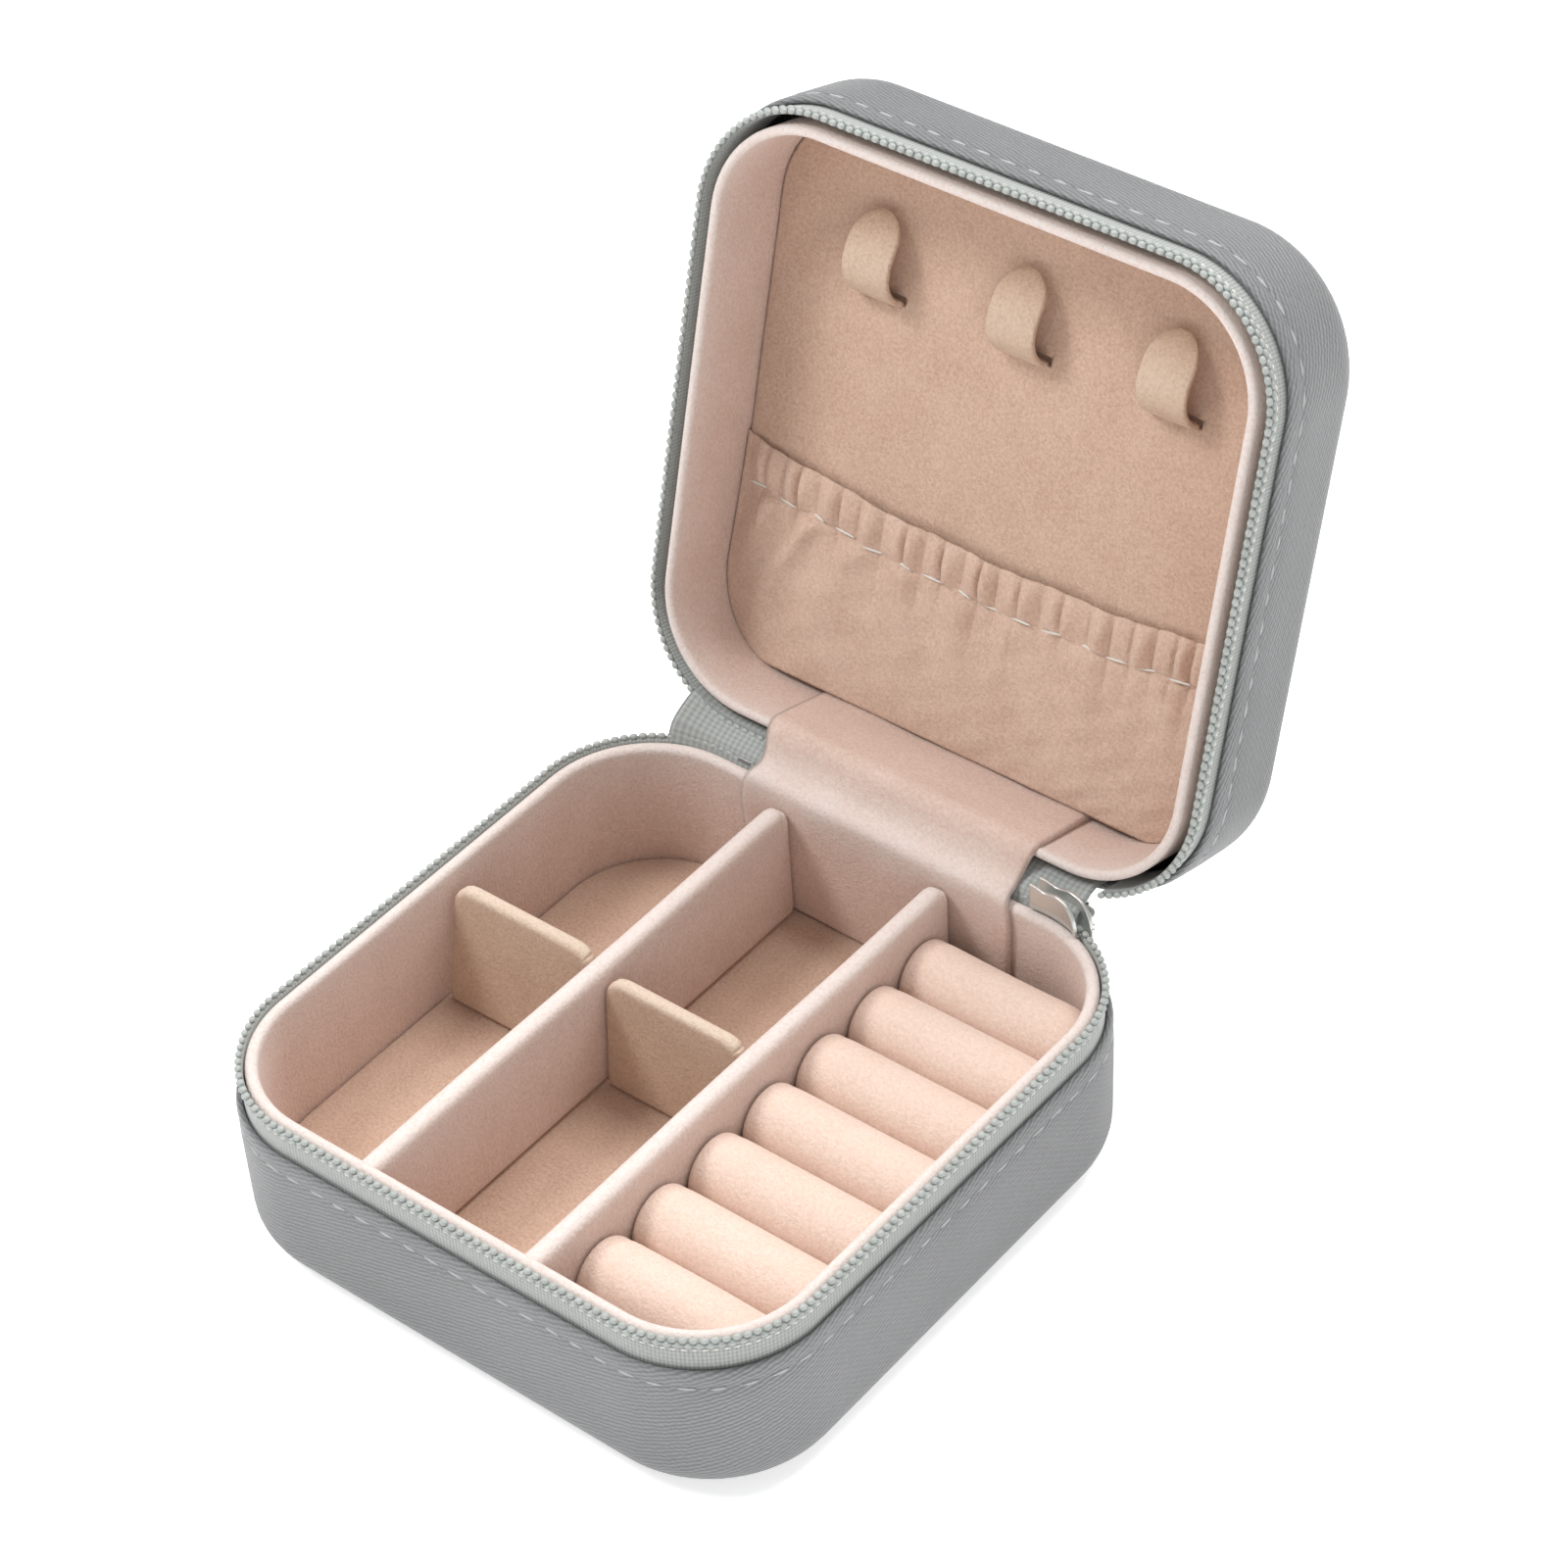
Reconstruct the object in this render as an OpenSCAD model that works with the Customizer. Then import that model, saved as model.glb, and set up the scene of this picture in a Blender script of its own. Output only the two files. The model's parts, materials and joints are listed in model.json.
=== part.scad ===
// Travel jewelry case: a square zip-round box with a hinged lid, drawn with the lid open.
// Millimetres. Origin at the centre of the underside; +X along the hinge, +Y to the hinge, +Z up.
// Every lid piece is drawn in its closed place and swung open about the hinge line.

/* [Case outline] */
// Width of the case along the hinge
case_w = 100; // [90:1:130]
// Depth of the case from front to hinge
case_d = 99.3; // [88:0.1:128]
// Corner radius of the outline, seen from above
corner_r = 20; // [16:0.5:24]
// Rounding of the bottom and top outer edges
edge_r = 6.2; // [3:0.1:8]
// Thickness of the outer leather
leather_t = 0.9; // [0.7:0.1:1.2]

/* [Heights] */
// Height of the base leather edge above the table
base_edge_z = 25.2; // [20:0.1:26]
// Height of the velvet rim of the base
base_rim_z = 30.2; // [29.6:0.1:30.4]
// Height of the parting plane and of the hinge line
hinge_z = 31.3; // [31:0.1:34]
// Height of the lid leather edge with the lid closed
lid_edge_z = 36; // [35:0.1:40]
// Height of the velvet rim of the lid with the lid closed
lid_rim_z = 31.9; // [31.7:0.1:34.5]
// Overall height with the lid closed
case_h = 55.3; // [54:0.1:70]

/* [Lid hinge] */
// Angle the lid is opened to, from closed
open_angle = 105.8; // [80:0.2:106]
// Distance of the hinge line behind the back of the outline
hinge_out = 0.85; // [0.8:0.05:1.2]
// Width of the velvet flap and of the outer spine strip
flap_w = 49.6; // [36:0.2:50]
// Sideways offset of the flap and spine
flap_x = 0.4; // [-0.5:0.1:0.6]
// Thickness of the velvet flap
flap_t = 0.7; // [0.5:0.05:0.75]
// Thickness of the outer spine strip
spine_t = 0.75; // [0.5:0.05:0.8]

/* [Linings] */
// Thickness of the bottom and top stiffening boards
board_t = 2; // [1.5:0.1:2.2]
// Thickness of each velvet covered panel
panel_t = 2; // [1.6:0.1:2.2]
// Height of the floor of the base above the table
floor_z = 8.4; // [7.5:0.1:10]
// Height of the inner face of the lid panel with the lid closed
lid_panel_z = 46.8; // [45:0.1:48]
// Thickness of the velvet covered liner walls
liner_t = 2; // [1.6:0.1:2.2]
// Inset of the base liner from the outline
base_liner_in = 1.75; // [1.7:0.05:1.9]
// Inset of the lid liner from the outline
lid_liner_in = 2.6; // [2.55:0.05:2.8]

/* [Zip] */
// Inset of the zip tape from the outline
tape_in = 1; // [0.95:0.05:1.05]
// Thickness of the zip tape
tape_t = 0.5; // [0.3:0.05:0.55]
// Radius of one coil row
coil_r = 0.7; // [0.5:0.05:0.75]
// Distance of each coil row from the parting plane
coil_off = 1.1; // [1.05:0.05:1.2]
// Half length of the stretch without a zip behind the flap
zip_gap = 24; // [18:0.5:24.5]
// Length of the metal stop on the zip's end
stop_w = 2.4; // [1.5:0.1:4]
// Length of the zip slider along the zip
slider_len = 10.2; // [8:0.1:10.6]
// Height of the slider plates
slider_h = 5.2; // [4:0.1:5.3]
// Length of the hanging zip pull
pull_len = 19; // [12:0.5:22]

/* [Dividers and ring rolls] */
// Thickness of a long divider
divider_t = 3.4; // [2.4:0.1:4]
// Centre of the left long divider
divider_left_x = -16.3; // [-20:0.1:-12]
// Centre of the right long divider
divider_right_x = 13.2; // [11:0.1:14]
// Height of the top of the dividers above the table
divider_top_z = 29.7; // [24:0.1:29.9]
// Thickness of a loose cross divider
cross_t = 2.5; // [1.5:0.1:3.5]
// Lean of the left cross divider
cross_left_lean = 11; // [0:0.5:12]
// Lean of the middle cross divider
cross_mid_lean = 4.5; // [0:0.5:12]
// Distance between neighbouring ring rolls
roll_pitch = 12; // [11:0.1:12.2]
// Middle of the row of ring rolls, front to back
roll_row_y = 0.6; // [-2:0.1:2]
// Height of the axis of the ring rolls
roll_z = 19.1; // [17:0.1:20]

/* [Lid fittings] */
// Distance between necklace hooks
hook_pitch = 25.8; // [16:0.1:28]
// Width of a necklace hook
hook_w = 8.4; // [6:0.1:10]
// Thickness of a necklace hook
hook_t = 1.1; // [0.8:0.1:1.4]
// How far a necklace hook stands off the lid panel
hook_out = 5.2; // [4:0.1:8]
// Distance of the pocket mouth behind the middle of the lid
pocket_y = 10.5; // [4:0.5:20]
// Width of the gathered hem of the pocket
hem_w = 6.5; // [5:0.1:8]
// Thickness of the pocket fabric
pocket_t = 1; // [0.6:0.1:1.4]
// Gap behind the pocket fabric
pocket_gap = 0.8; // [0.5:0.1:2]

/* [Hidden] */
$fn = 64;

hx = case_w / 2;
hy = case_d / 2;
cx = hx - corner_r;
cy = hy - corner_r;
hinge_y = hy + hinge_out;
eps = 0.05;
side_gap = 0.4;
liner_in_base = base_liner_in + liner_t;
liner_in_lid = lid_liner_in + liner_t;
base_board_z = leather_t + eps;
base_pad_z = base_board_z + board_t + eps;
lid_board_z = case_h - leather_t - eps - board_t;
liner_foot = 2.6;
flap_left = flap_x - flap_w / 2;
flap_right = flap_x + flap_w / 2;
wall_inner_x = hx - liner_in_base;
wall_inner_y = hy - liner_in_base;
divider_front_y = -wall_inner_y + eps;
divider_back_y = wall_inner_y - flap_t - 2 * eps;
roll_r = roll_pitch / 2 - eps;
roll_left_x = divider_right_x + divider_t / 2 + 0.2;
roll_count = 7;
slider_a = slider_len / corner_r * 180 / PI;
slider_rest = 7;
slider_top = hinge_z + 3.3;
slider_in = tape_in + tape_t + 0.3;
slider_plate = 0.6;
slider_out = 0.2;
bail_out = slider_out + slider_plate + 1.7;
bail_r = 0.45;
bail_z = hinge_z - 0.6;
slider_relief = 4;
lid_zip_stop_x = 39;

// ---- shared shapes ----

// The outline of the case from above, moved inwards by inset.
module outline(inset) {
  ax = hx - inset;
  ay = hy - inset;
  r = corner_r - inset;
  union() {
    square([2 * cx, 2 * ay], center = true);
    square([2 * ax, 2 * cy], center = true);
    for (sx = [-1, 1], sy = [-1, 1]) {
      translate([sx * cx, sy * cy]) circle(r = r);
    }
  }
}

// A flat plate of the outline between two heights.
module plate(inset, z0, z1) {
  translate([0, 0, z0]) linear_extrude(z1 - z0) outline(inset);
}

// An upright wall that follows the outline.
module wall(inset, thick, z0, z1) {
  translate([0, 0, z0]) linear_extrude(z1 - z0) difference() {
    outline(inset);
    outline(inset + thick);
  }
}

// Carries a section round the outline; section x is the distance from the corner axis.
module around() {
  for (q = [0:3]) {
    sx = (q == 0 || q == 3) ? 1 : -1;
    sy = (q < 2) ? 1 : -1;
    translate([sx * cx, sy * cy, 0]) rotate([0, 0, 90 * q])
      rotate_extrude(angle = 90) children();
  }
  for (s = [0, 180]) {
    rotate([0, 0, s]) translate([cx, 0, 0]) rotate([90, 0, 0])
      linear_extrude(2 * cy, center = true) children();
    rotate([0, 0, 90 + s]) translate([cy, 0, 0]) rotate([90, 0, 0])
      linear_extrude(2 * cx, center = true) children();
  }
}

// Section of the rounded skirt of a shell that stands on z = 0.
module skirt_section(height) {
  translate([corner_r - leather_t, edge_r]) square([leather_t, height - edge_r]);
  translate([corner_r - edge_r, edge_r]) intersection() {
    difference() {
      circle(r = edge_r);
      circle(r = edge_r - leather_t);
    }
    translate([0, -edge_r]) square([edge_r, edge_r]);
  }
}

// A leather tray: flat bottom, rounded lower edge and upright skirt.
module tray(height) {
  union() {
    around() skirt_section(height);
    plate(edge_r, 0, leather_t);
  }
}

// Swings a lid piece from closed to open.
module opened() {
  translate([0, hinge_y, hinge_z]) rotate([-open_angle, 0, 0])
    translate([0, -hinge_y, -hinge_z]) children();
}

// The block of space behind the flap, where the zip is left out.
module zip_cut(x0, x1, z0, z1) {
  translate([x0, cy + 5, z0]) cube([x1 - x0, corner_r, z1 - z0]);
}

// The space that the slider passes through, at the back right corner.
module slider_way(depth, z0, z1, a0, a1) {
  translate([cx, cy, z0]) rotate([0, 0, a0]) rotate_extrude(angle = a1 - a0)
    translate([corner_r - depth, 0]) square([depth, z1 - z0]);
}

// ---- base ----

module base_shell() {
  color("#9b9a9c") tray(base_edge_z);
}

module base_board() {
  color("#b59b78") plate(edge_r, base_board_z, base_board_z + board_t);
}

module base_padding() {
  color("#e8e4da") plate(liner_in_base + eps, base_pad_z, floor_z - panel_t - eps);
}

module base_liner_wall() {
  color("#d9c5bb") difference() {
    wall(base_liner_in, liner_t, liner_foot + leather_t, base_rim_z);
    slider_way(lid_liner_in, slider_top - slider_h - 0.2, base_rim_z + 1, 4, 105);
  }
}

module base_floor_panel() {
  color("#cda98f") plate(liner_in_base + eps, floor_z - panel_t, floor_z);
}

module base_zip_tape() {
  color("#b6beb8") difference() {
    wall(tape_in, tape_t, base_edge_z - 8, hinge_z - coil_off);
    zip_cut(-zip_gap, zip_gap, 0, case_h);
  }
}

module coil_ring(z) {
  around() translate([corner_r - tape_in + 0.2, z]) circle(r = coil_r, $fn = 24);
}

module base_zip_coil() {
  color("#c3cbc5") difference() {
    coil_ring(hinge_z - coil_off);
    wall(tape_in - eps, tape_t + 2 * eps, base_edge_z - 8, hinge_z - coil_off + eps);
    zip_cut(flap_left - stop_w - 0.7, flap_right + 0.4, 0, case_h);
  }
}

module zip_end_stop() {
  color("#c9cbcd") difference() {
    translate([flap_left - stop_w - 0.4, hy - tape_in + 0.2, hinge_z - coil_off])
      rotate([0, 90, 0]) cylinder(r = coil_r, h = stop_w, $fn = 24);
    wall(tape_in - eps, tape_t + 2 * eps, base_edge_z - 8, hinge_z - coil_off + eps);
  }
}

// A velvet covered board on edge, rounded along its top and at its top corners.
module long_divider(x) {
  r = divider_t / 2 - 0.3;
  corner = 3;
  y0 = divider_front_y;
  y1 = divider_back_y;
  intersection() {
    translate([x, y1, 0]) rotate([90, 0, 0]) linear_extrude(y1 - y0) union() {
      translate([-divider_t / 2, floor_z + eps])
        square([divider_t, divider_top_z - floor_z - eps - r]);
      translate([-divider_t / 2 + r, floor_z + eps])
        square([divider_t - 2 * r, divider_top_z - floor_z - eps]);
      for (s = [-1, 1]) {
        translate([s * (divider_t / 2 - r), divider_top_z - r]) circle(r = r, $fn = 32);
      }
    }
    translate([x - divider_t, 0, 0]) rotate([90, 0, 90]) linear_extrude(2 * divider_t) union() {
      translate([y0, 0]) square([y1 - y0, divider_top_z - corner]);
      translate([y0 + corner, 0]) square([y1 - y0 - 2 * corner, divider_top_z]);
      translate([y0 + corner, divider_top_z - corner]) circle(r = corner);
      translate([y1 - corner, divider_top_z - corner]) circle(r = corner);
    }
  }
}

module long_divider_left() {
  color("#d9c5bb") long_divider(divider_left_x);
}

module long_divider_right() {
  color("#d9c5bb") long_divider(divider_right_x);
}

// ---- ring rolls ----

module roll_bay(inset, z0, z1) {
  intersection() {
    plate(liner_in_base + inset, z0, z1);
    translate([roll_left_x, -hy, z0]) cube([hx, case_d, z1 - z0]);
  }
}

module ring_roll_bed() {
  color("#d8b59d") intersection() {
    roll_bay(0.2, floor_z + eps, roll_z - roll_r - eps);
    translate([0, roll_row_y - roll_count / 2 * roll_pitch, 0])
      cube([hx, roll_count * roll_pitch, case_h]);
  }
}

// Roll number n, counted from the hinge to the front.
module ring_roll(n) {
  y = roll_row_y + ((roll_count + 1) / 2 - n) * roll_pitch;
  color("#ecd6c8") intersection() {
    translate([roll_left_x, y, roll_z]) rotate([0, 90, 0]) cylinder(r = roll_r, h = hx);
    roll_bay(0.2, 0, case_h);
  }
}

module ring_roll_1() {
  ring_roll(1);
}

module ring_roll_2() {
  ring_roll(2);
}

module ring_roll_3() {
  ring_roll(3);
}

module ring_roll_4() {
  ring_roll(4);
}

module ring_roll_5() {
  ring_roll(5);
}

module ring_roll_6() {
  ring_roll(6);
}

module ring_roll_7() {
  ring_roll(7);
}

// ---- hinge flap and spine, each cut at the hinge line ----

module hinge_flap_base() {
  y0 = wall_inner_y - eps - flap_t;
  color("#dcc8be") union() {
    translate([flap_left, y0, floor_z + eps])
      cube([flap_w, flap_t, base_rim_z + eps + flap_t - floor_z - eps]);
    translate([flap_left, y0, base_rim_z + eps]) cube([flap_w, hy - 0.15 - y0, flap_t]);
  }
}

module hinge_flap_lid() {
  y0 = hy - liner_in_lid - eps - flap_t;
  color("#dcc8be") opened() translate([flap_left, y0, lid_rim_z])
    cube([flap_w, flap_t, lid_panel_z - eps - lid_rim_z]);
}

module spine_base() {
  color("#939295") translate([flap_left, hy + eps, base_edge_z - 7])
    cube([flap_w, spine_t, hinge_z - 0.3 - base_edge_z + 7]);
}

module spine_lid() {
  color("#939295") opened() translate([flap_left, hy + eps, hinge_z + 0.3])
    cube([flap_w, spine_t, lid_edge_z + 7 - hinge_z - 0.3]);
}

// ---- loose cross dividers ----

module cross_divider(x0, x1, y, lean) {
  corner = 3.5;
  h = divider_top_z - floor_z - 1.2;
  w = x1 - x0;
  translate([x0, y, floor_z + 0.35 + cross_t * sin(lean)]) rotate([90 - lean, 0, 0])
    translate([0, 0, -cross_t]) linear_extrude(cross_t) union() {
      translate([corner, 0]) square([w - 2 * corner, h]);
      translate([0, corner]) square([w, h - 2 * corner]);
      for (px = [corner, w - corner], py = [corner, h - corner]) {
        translate([px, py]) circle(r = corner);
      }
    }
}

module cross_divider_left() {
  color("#c9a288") cross_divider(-(hx - liner_in_lid) + side_gap,
    divider_left_x - divider_t / 2 - side_gap, -0.3, cross_left_lean);
}

module cross_divider_middle() {
  color("#c9a288") cross_divider(divider_left_x + divider_t / 2 + side_gap,
    divider_right_x - divider_t / 2 - side_gap, -0.3, cross_mid_lean);
}

// ---- zip slider and pull ----

// Places a piece at the back right corner, at the slider's resting place.
module at_slider() {
  translate([cx, cy, 0]) rotate([0, 0, 90 - slider_rest]) children();
}

// A curved plate of the slider; in and out are measured outwards from the outline.
module slider_shell(r0, r1, z0, z1, span) {
  translate([0, 0, z0]) rotate([0, 0, -span / 2]) rotate_extrude(angle = span)
    translate([corner_r + r0, 0]) square([r1 - r0, z1 - z0]);
}

module zip_slider() {
  z0 = slider_top - slider_h;
  r1 = slider_out + slider_plate;
  foot = 0.9;
  color("#c9cbcd") at_slider() union() {
    slider_shell(-slider_in - slider_plate, -slider_in, z0, slider_top, slider_a);
    slider_shell(slider_out, r1, z0 - 0.7, slider_top - 0.4, slider_a);
    slider_shell(-slider_in - slider_plate / 2, r1 - slider_plate / 2,
      hinge_z - 0.25, hinge_z + 0.25, slider_a / 3);
    for (s = [-1, 1]) {
      translate([corner_r + r1 - 0.3, s * 3 - foot / 2, bail_z - bail_r])
        cube([bail_out - r1 + 0.3, foot, 2 * bail_r]);
    }
    translate([corner_r + bail_out, 0, bail_z]) rotate([90, 0, 0])
      cylinder(r = bail_r, h = 6 + foot, center = true, $fn = 24);
  }
}

module zip_pull() {
  eye_r = 1.35;
  tab_w = 5.4;
  tab_t = 1;
  color("#c9cbcd") at_slider() translate([corner_r + bail_out, 0, bail_z]) union() {
    rotate([90, 0, 0]) difference() {
      cylinder(r = eye_r, h = 2.6, center = true, $fn = 32);
      cylinder(r = bail_r + 0.25, h = 3, center = true, $fn = 32);
    }
    translate([-tab_t / 2, -1.3, -3]) cube([tab_t, 2.6, 3 - eye_r + 0.3]);
    translate([-tab_t / 2, 0, 0]) rotate([90, 0, 90]) linear_extrude(tab_t) difference() {
      union() {
        translate([-tab_w / 2, -pull_len + tab_w / 2]) square([tab_w, pull_len - tab_w / 2 - 3]);
        translate([0, -pull_len + tab_w / 2]) circle(d = tab_w);
      }
      translate([0, -pull_len + tab_w / 2 + 0.4]) circle(d = 2.4);
    }
  }
}

// ---- lid ----

module lid_shell() {
  color("#a6a5a8") opened() translate([0, 0, case_h]) mirror([0, 0, 1])
    tray(case_h - lid_edge_z);
}

module lid_board() {
  color("#b59b78") opened() plate(edge_r, lid_board_z, lid_board_z + board_t);
}

module lid_padding() {
  color("#e8e4da") opened()
    plate(liner_in_lid + eps, lid_panel_z + panel_t + eps, lid_board_z - eps);
}

function hook_x(n) = 0.4 + (n - 2) * hook_pitch;
hook_slot_y = -19.6;

module lid_panel() {
  color("#cda98f") opened() difference() {
    plate(liner_in_lid + eps, lid_panel_z, lid_panel_z + panel_t);
    for (n = [1:3]) {
      translate([hook_x(n) - hook_w / 2 - 0.3, hook_slot_y - hook_start - hook_t - 0.3,
        lid_panel_z - 1]) cube([hook_w + 0.6, hook_t + 0.6, panel_t + 2]);
    }
  }
}

// Behind the slider the lower part of the wall is thinned from outside.
module lid_liner_wall() {
  relief_top = slider_top + 0.9;
  color("#d9c5bb") opened() union() {
    wall(lid_liner_in, liner_t, relief_top, case_h - leather_t - liner_foot);
    translate([0, 0, lid_rim_z]) linear_extrude(relief_top - lid_rim_z) difference() {
      union() {
        difference() {
          outline(lid_liner_in);
          translate([flap_right, cy + 8]) square([lid_zip_stop_x - 1 - flap_right, hy]);
        }
        outline(slider_relief);
      }
      outline(liner_in_lid);
    }
  }
}

module lid_zip_tape() {
  color("#b6beb8") opened() difference() {
    wall(tape_in, tape_t, hinge_z + coil_off, lid_edge_z + 6);
    zip_cut(-zip_gap, lid_zip_stop_x, 0, case_h);
  }
}

module lid_zip_coil() {
  color("#c3cbc5") opened() difference() {
    coil_ring(hinge_z + coil_off);
    wall(tape_in - eps, tape_t + 2 * eps, hinge_z + coil_off - eps, lid_edge_z + 6);
    zip_cut(-zip_gap, lid_zip_stop_x, 0, case_h);
  }
}

// Section of a necklace hook: out of the slot, away from the panel and back towards it.
// u runs from the slot to the tip, s(u) is the distance off the panel.
hook_len = 13.4;
hook_tip = 1.5;
hook_start = 0.5;
hook_steps = 24;
function hook_s(u) = let (k = u / hook_len)
  hook_out * pow(sin(180 * pow(k, 0.76)), 0.9) + hook_tip * k * k;
function hook_pt(u, d) = let (
    e = 0.05,
    slope = (hook_s(min(u + e, hook_len)) - hook_s(max(u - e, 0)))
      / (min(u + e, hook_len) - max(u - e, 0)),
    n = sqrt(1 + slope * slope)
  ) [hook_slot_y - u + d * slope / n, lid_panel_z - hook_s(u) - d / n];

module necklace_hook(n) {
  du = (hook_len - hook_start) / hook_steps;
  near = [for (i = [0:hook_steps]) hook_pt(hook_start + i * du, 0)];
  far = [for (i = [hook_steps:-1:0]) hook_pt(hook_start + i * du, -hook_t)];
  x = hook_x(n);
  root_z = lid_panel_z - hook_s(hook_start);
  tip_y = hook_slot_y - hook_len;
  color("#c79f85") opened() union() {
    intersection() {
      translate([x - hook_w / 2, 0, 0]) rotate([90, 0, 90])
        linear_extrude(hook_w) polygon(concat(near, far));
      translate([x, tip_y + hook_w / 2, lid_panel_z - 2 * hook_out])
        linear_extrude(3 * hook_out) union() {
          circle(d = hook_w);
          translate([-hook_w / 2, 0]) square([hook_w, 2 * hook_len]);
        }
    }
    translate([x - hook_w / 2, hook_slot_y - hook_start - hook_t, root_z])
      cube([hook_w, hook_t, lid_panel_z + panel_t - eps - root_z]);
  }
}

module necklace_hook_1() {
  necklace_hook(1);
}

module necklace_hook_2() {
  necklace_hook(2);
}

module necklace_hook_3() {
  necklace_hook(3);
}

// The pocket lies over the panel; its hem is a tube round the elastic.
module pocket() {
  z1 = lid_panel_z - pocket_gap;
  z0 = z1 - pocket_t;
  y1 = hy - liner_in_lid - 3 * eps - flap_t;
  hem_t = pocket_t + 0.9;
  color("#cfab92") opened() difference() {
    intersection() {
      plate(liner_in_lid + 0.1, z1 - hem_t, lid_panel_z - eps);
      union() {
        translate([-hx, pocket_y, z0]) cube([case_w, y1 - pocket_y, pocket_t]);
        translate([-hx, pocket_y, z1 - hem_t]) cube([case_w, hem_w, hem_t]);
        translate([-hx, y1 - 1.5, z0]) cube([case_w, 1.5, pocket_gap + pocket_t]);
      }
    }
    translate([-hx, pocket_y + 0.5, z1 - hem_t + 0.5]) cube([case_w, hem_w - 1, 0.9]);
  }
}

module pocket_elastic() {
  z1 = lid_panel_z - pocket_gap - pocket_t - 0.9 + 0.5;
  color("#f1ece4") opened() translate([-hx + liner_in_lid + 0.4, pocket_y + 0.6, z1 + 0.1])
    cube([case_w - 2 * liner_in_lid - 0.8, hem_w - 1.2, 0.7]);
}

base_shell();
base_board();
base_padding();
base_liner_wall();
base_floor_panel();
base_zip_tape();
base_zip_coil();
zip_end_stop();
long_divider_left();
long_divider_right();
ring_roll_bed();
ring_roll_1();
ring_roll_2();
ring_roll_3();
ring_roll_4();
ring_roll_5();
ring_roll_6();
ring_roll_7();
hinge_flap_base();
spine_base();
cross_divider_left();
cross_divider_middle();
zip_slider();
zip_pull();
lid_shell();
lid_board();
lid_padding();
lid_panel();
lid_liner_wall();
lid_zip_tape();
lid_zip_coil();
necklace_hook_1();
necklace_hook_2();
necklace_hook_3();
pocket();
pocket_elastic();
hinge_flap_lid();
spine_lid();
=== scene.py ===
"""Travel jewelry case, open: velvet, leather, zip and metal built round the CAD frame."""

import json
import random
from math import acos, atan2, copysign, cos, exp, hypot, pi, radians, sin, sqrt

import bmesh
import bpy
import numpy as np
from mathutils import Matrix, Vector


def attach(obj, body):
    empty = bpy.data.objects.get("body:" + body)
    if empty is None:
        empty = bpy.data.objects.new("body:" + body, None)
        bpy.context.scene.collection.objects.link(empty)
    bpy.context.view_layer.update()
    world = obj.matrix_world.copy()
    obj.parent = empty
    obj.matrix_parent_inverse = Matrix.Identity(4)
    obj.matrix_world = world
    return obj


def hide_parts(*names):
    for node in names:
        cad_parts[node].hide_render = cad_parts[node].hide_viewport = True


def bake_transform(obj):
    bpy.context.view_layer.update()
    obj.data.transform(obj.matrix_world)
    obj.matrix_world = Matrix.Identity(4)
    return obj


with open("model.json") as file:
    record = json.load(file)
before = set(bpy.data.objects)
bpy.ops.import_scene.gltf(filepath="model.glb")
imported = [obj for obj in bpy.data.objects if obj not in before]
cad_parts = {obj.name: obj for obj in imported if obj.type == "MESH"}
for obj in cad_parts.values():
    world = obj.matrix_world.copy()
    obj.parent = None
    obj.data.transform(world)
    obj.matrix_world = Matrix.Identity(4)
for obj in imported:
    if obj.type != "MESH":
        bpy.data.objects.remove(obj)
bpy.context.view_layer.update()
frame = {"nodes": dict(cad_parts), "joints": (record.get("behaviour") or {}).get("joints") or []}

MM = 0.001
SEED = 7

# ---- frame facts, in millimetres


def joint(name):
    return next(j for j in frame["joints"] if j["name"] == name)


HINGE = Vector(joint("lid_hinge")["pos_m"]) / MM
OPEN_ANGLE = radians(joint("lid_hinge")["range_deg"][1])
TO_OPEN = (
    Matrix.Translation(HINGE)
    @ Matrix.Rotation(-OPEN_ANGLE, 4, "X")
    @ Matrix.Translation(-HINGE)
)
TO_CLOSED = TO_OPEN.inverted()
AS_IS = Matrix.Identity(4)


def node_box(node, place=AS_IS):
    """Lowest and highest corner of a CAD node in mm, after an optional placement."""
    points = [place @ (v.co / MM) for v in frame["nodes"][node].data.vertices]
    array = np.array([tuple(p) for p in points])
    return array.min(axis=0), array.max(axis=0)


BASE_HI = node_box("base_shell")[1]
HALF_X, HALF_Y = BASE_HI[0], BASE_HI[1]
BASE_EDGE = BASE_HI[2]
BASE_RIM = node_box("base_liner_wall")[1][2]
FLOOR = node_box("base_floor_panel")[1][2]
LID_SHELL_LO, LID_SHELL_HI = node_box("lid_shell", TO_CLOSED)
LID_EDGE, CASE_H = LID_SHELL_LO[2], LID_SHELL_HI[2]
LID_RIM = node_box("lid_liner_wall", TO_CLOSED)[0][2]
LID_PANEL = node_box("lid_panel", TO_CLOSED)[0][2]

CORNER_R = 20.0
EDGE_R = 6.2
LEATHER_T = 0.9
BASE_LINER_IN = HALF_X - node_box("base_liner_wall")[1][0]
LID_LINER_IN = HALF_X - node_box("lid_liner_wall", TO_CLOSED)[1][0]
LINER_T = 2.0
CORNER_X = HALF_X - CORNER_R
CORNER_Y = HALF_Y - CORNER_R
PERIMETER = 4 * (CORNER_X + CORNER_Y) + 2 * pi * CORNER_R

# ---- outline of the case


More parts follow.
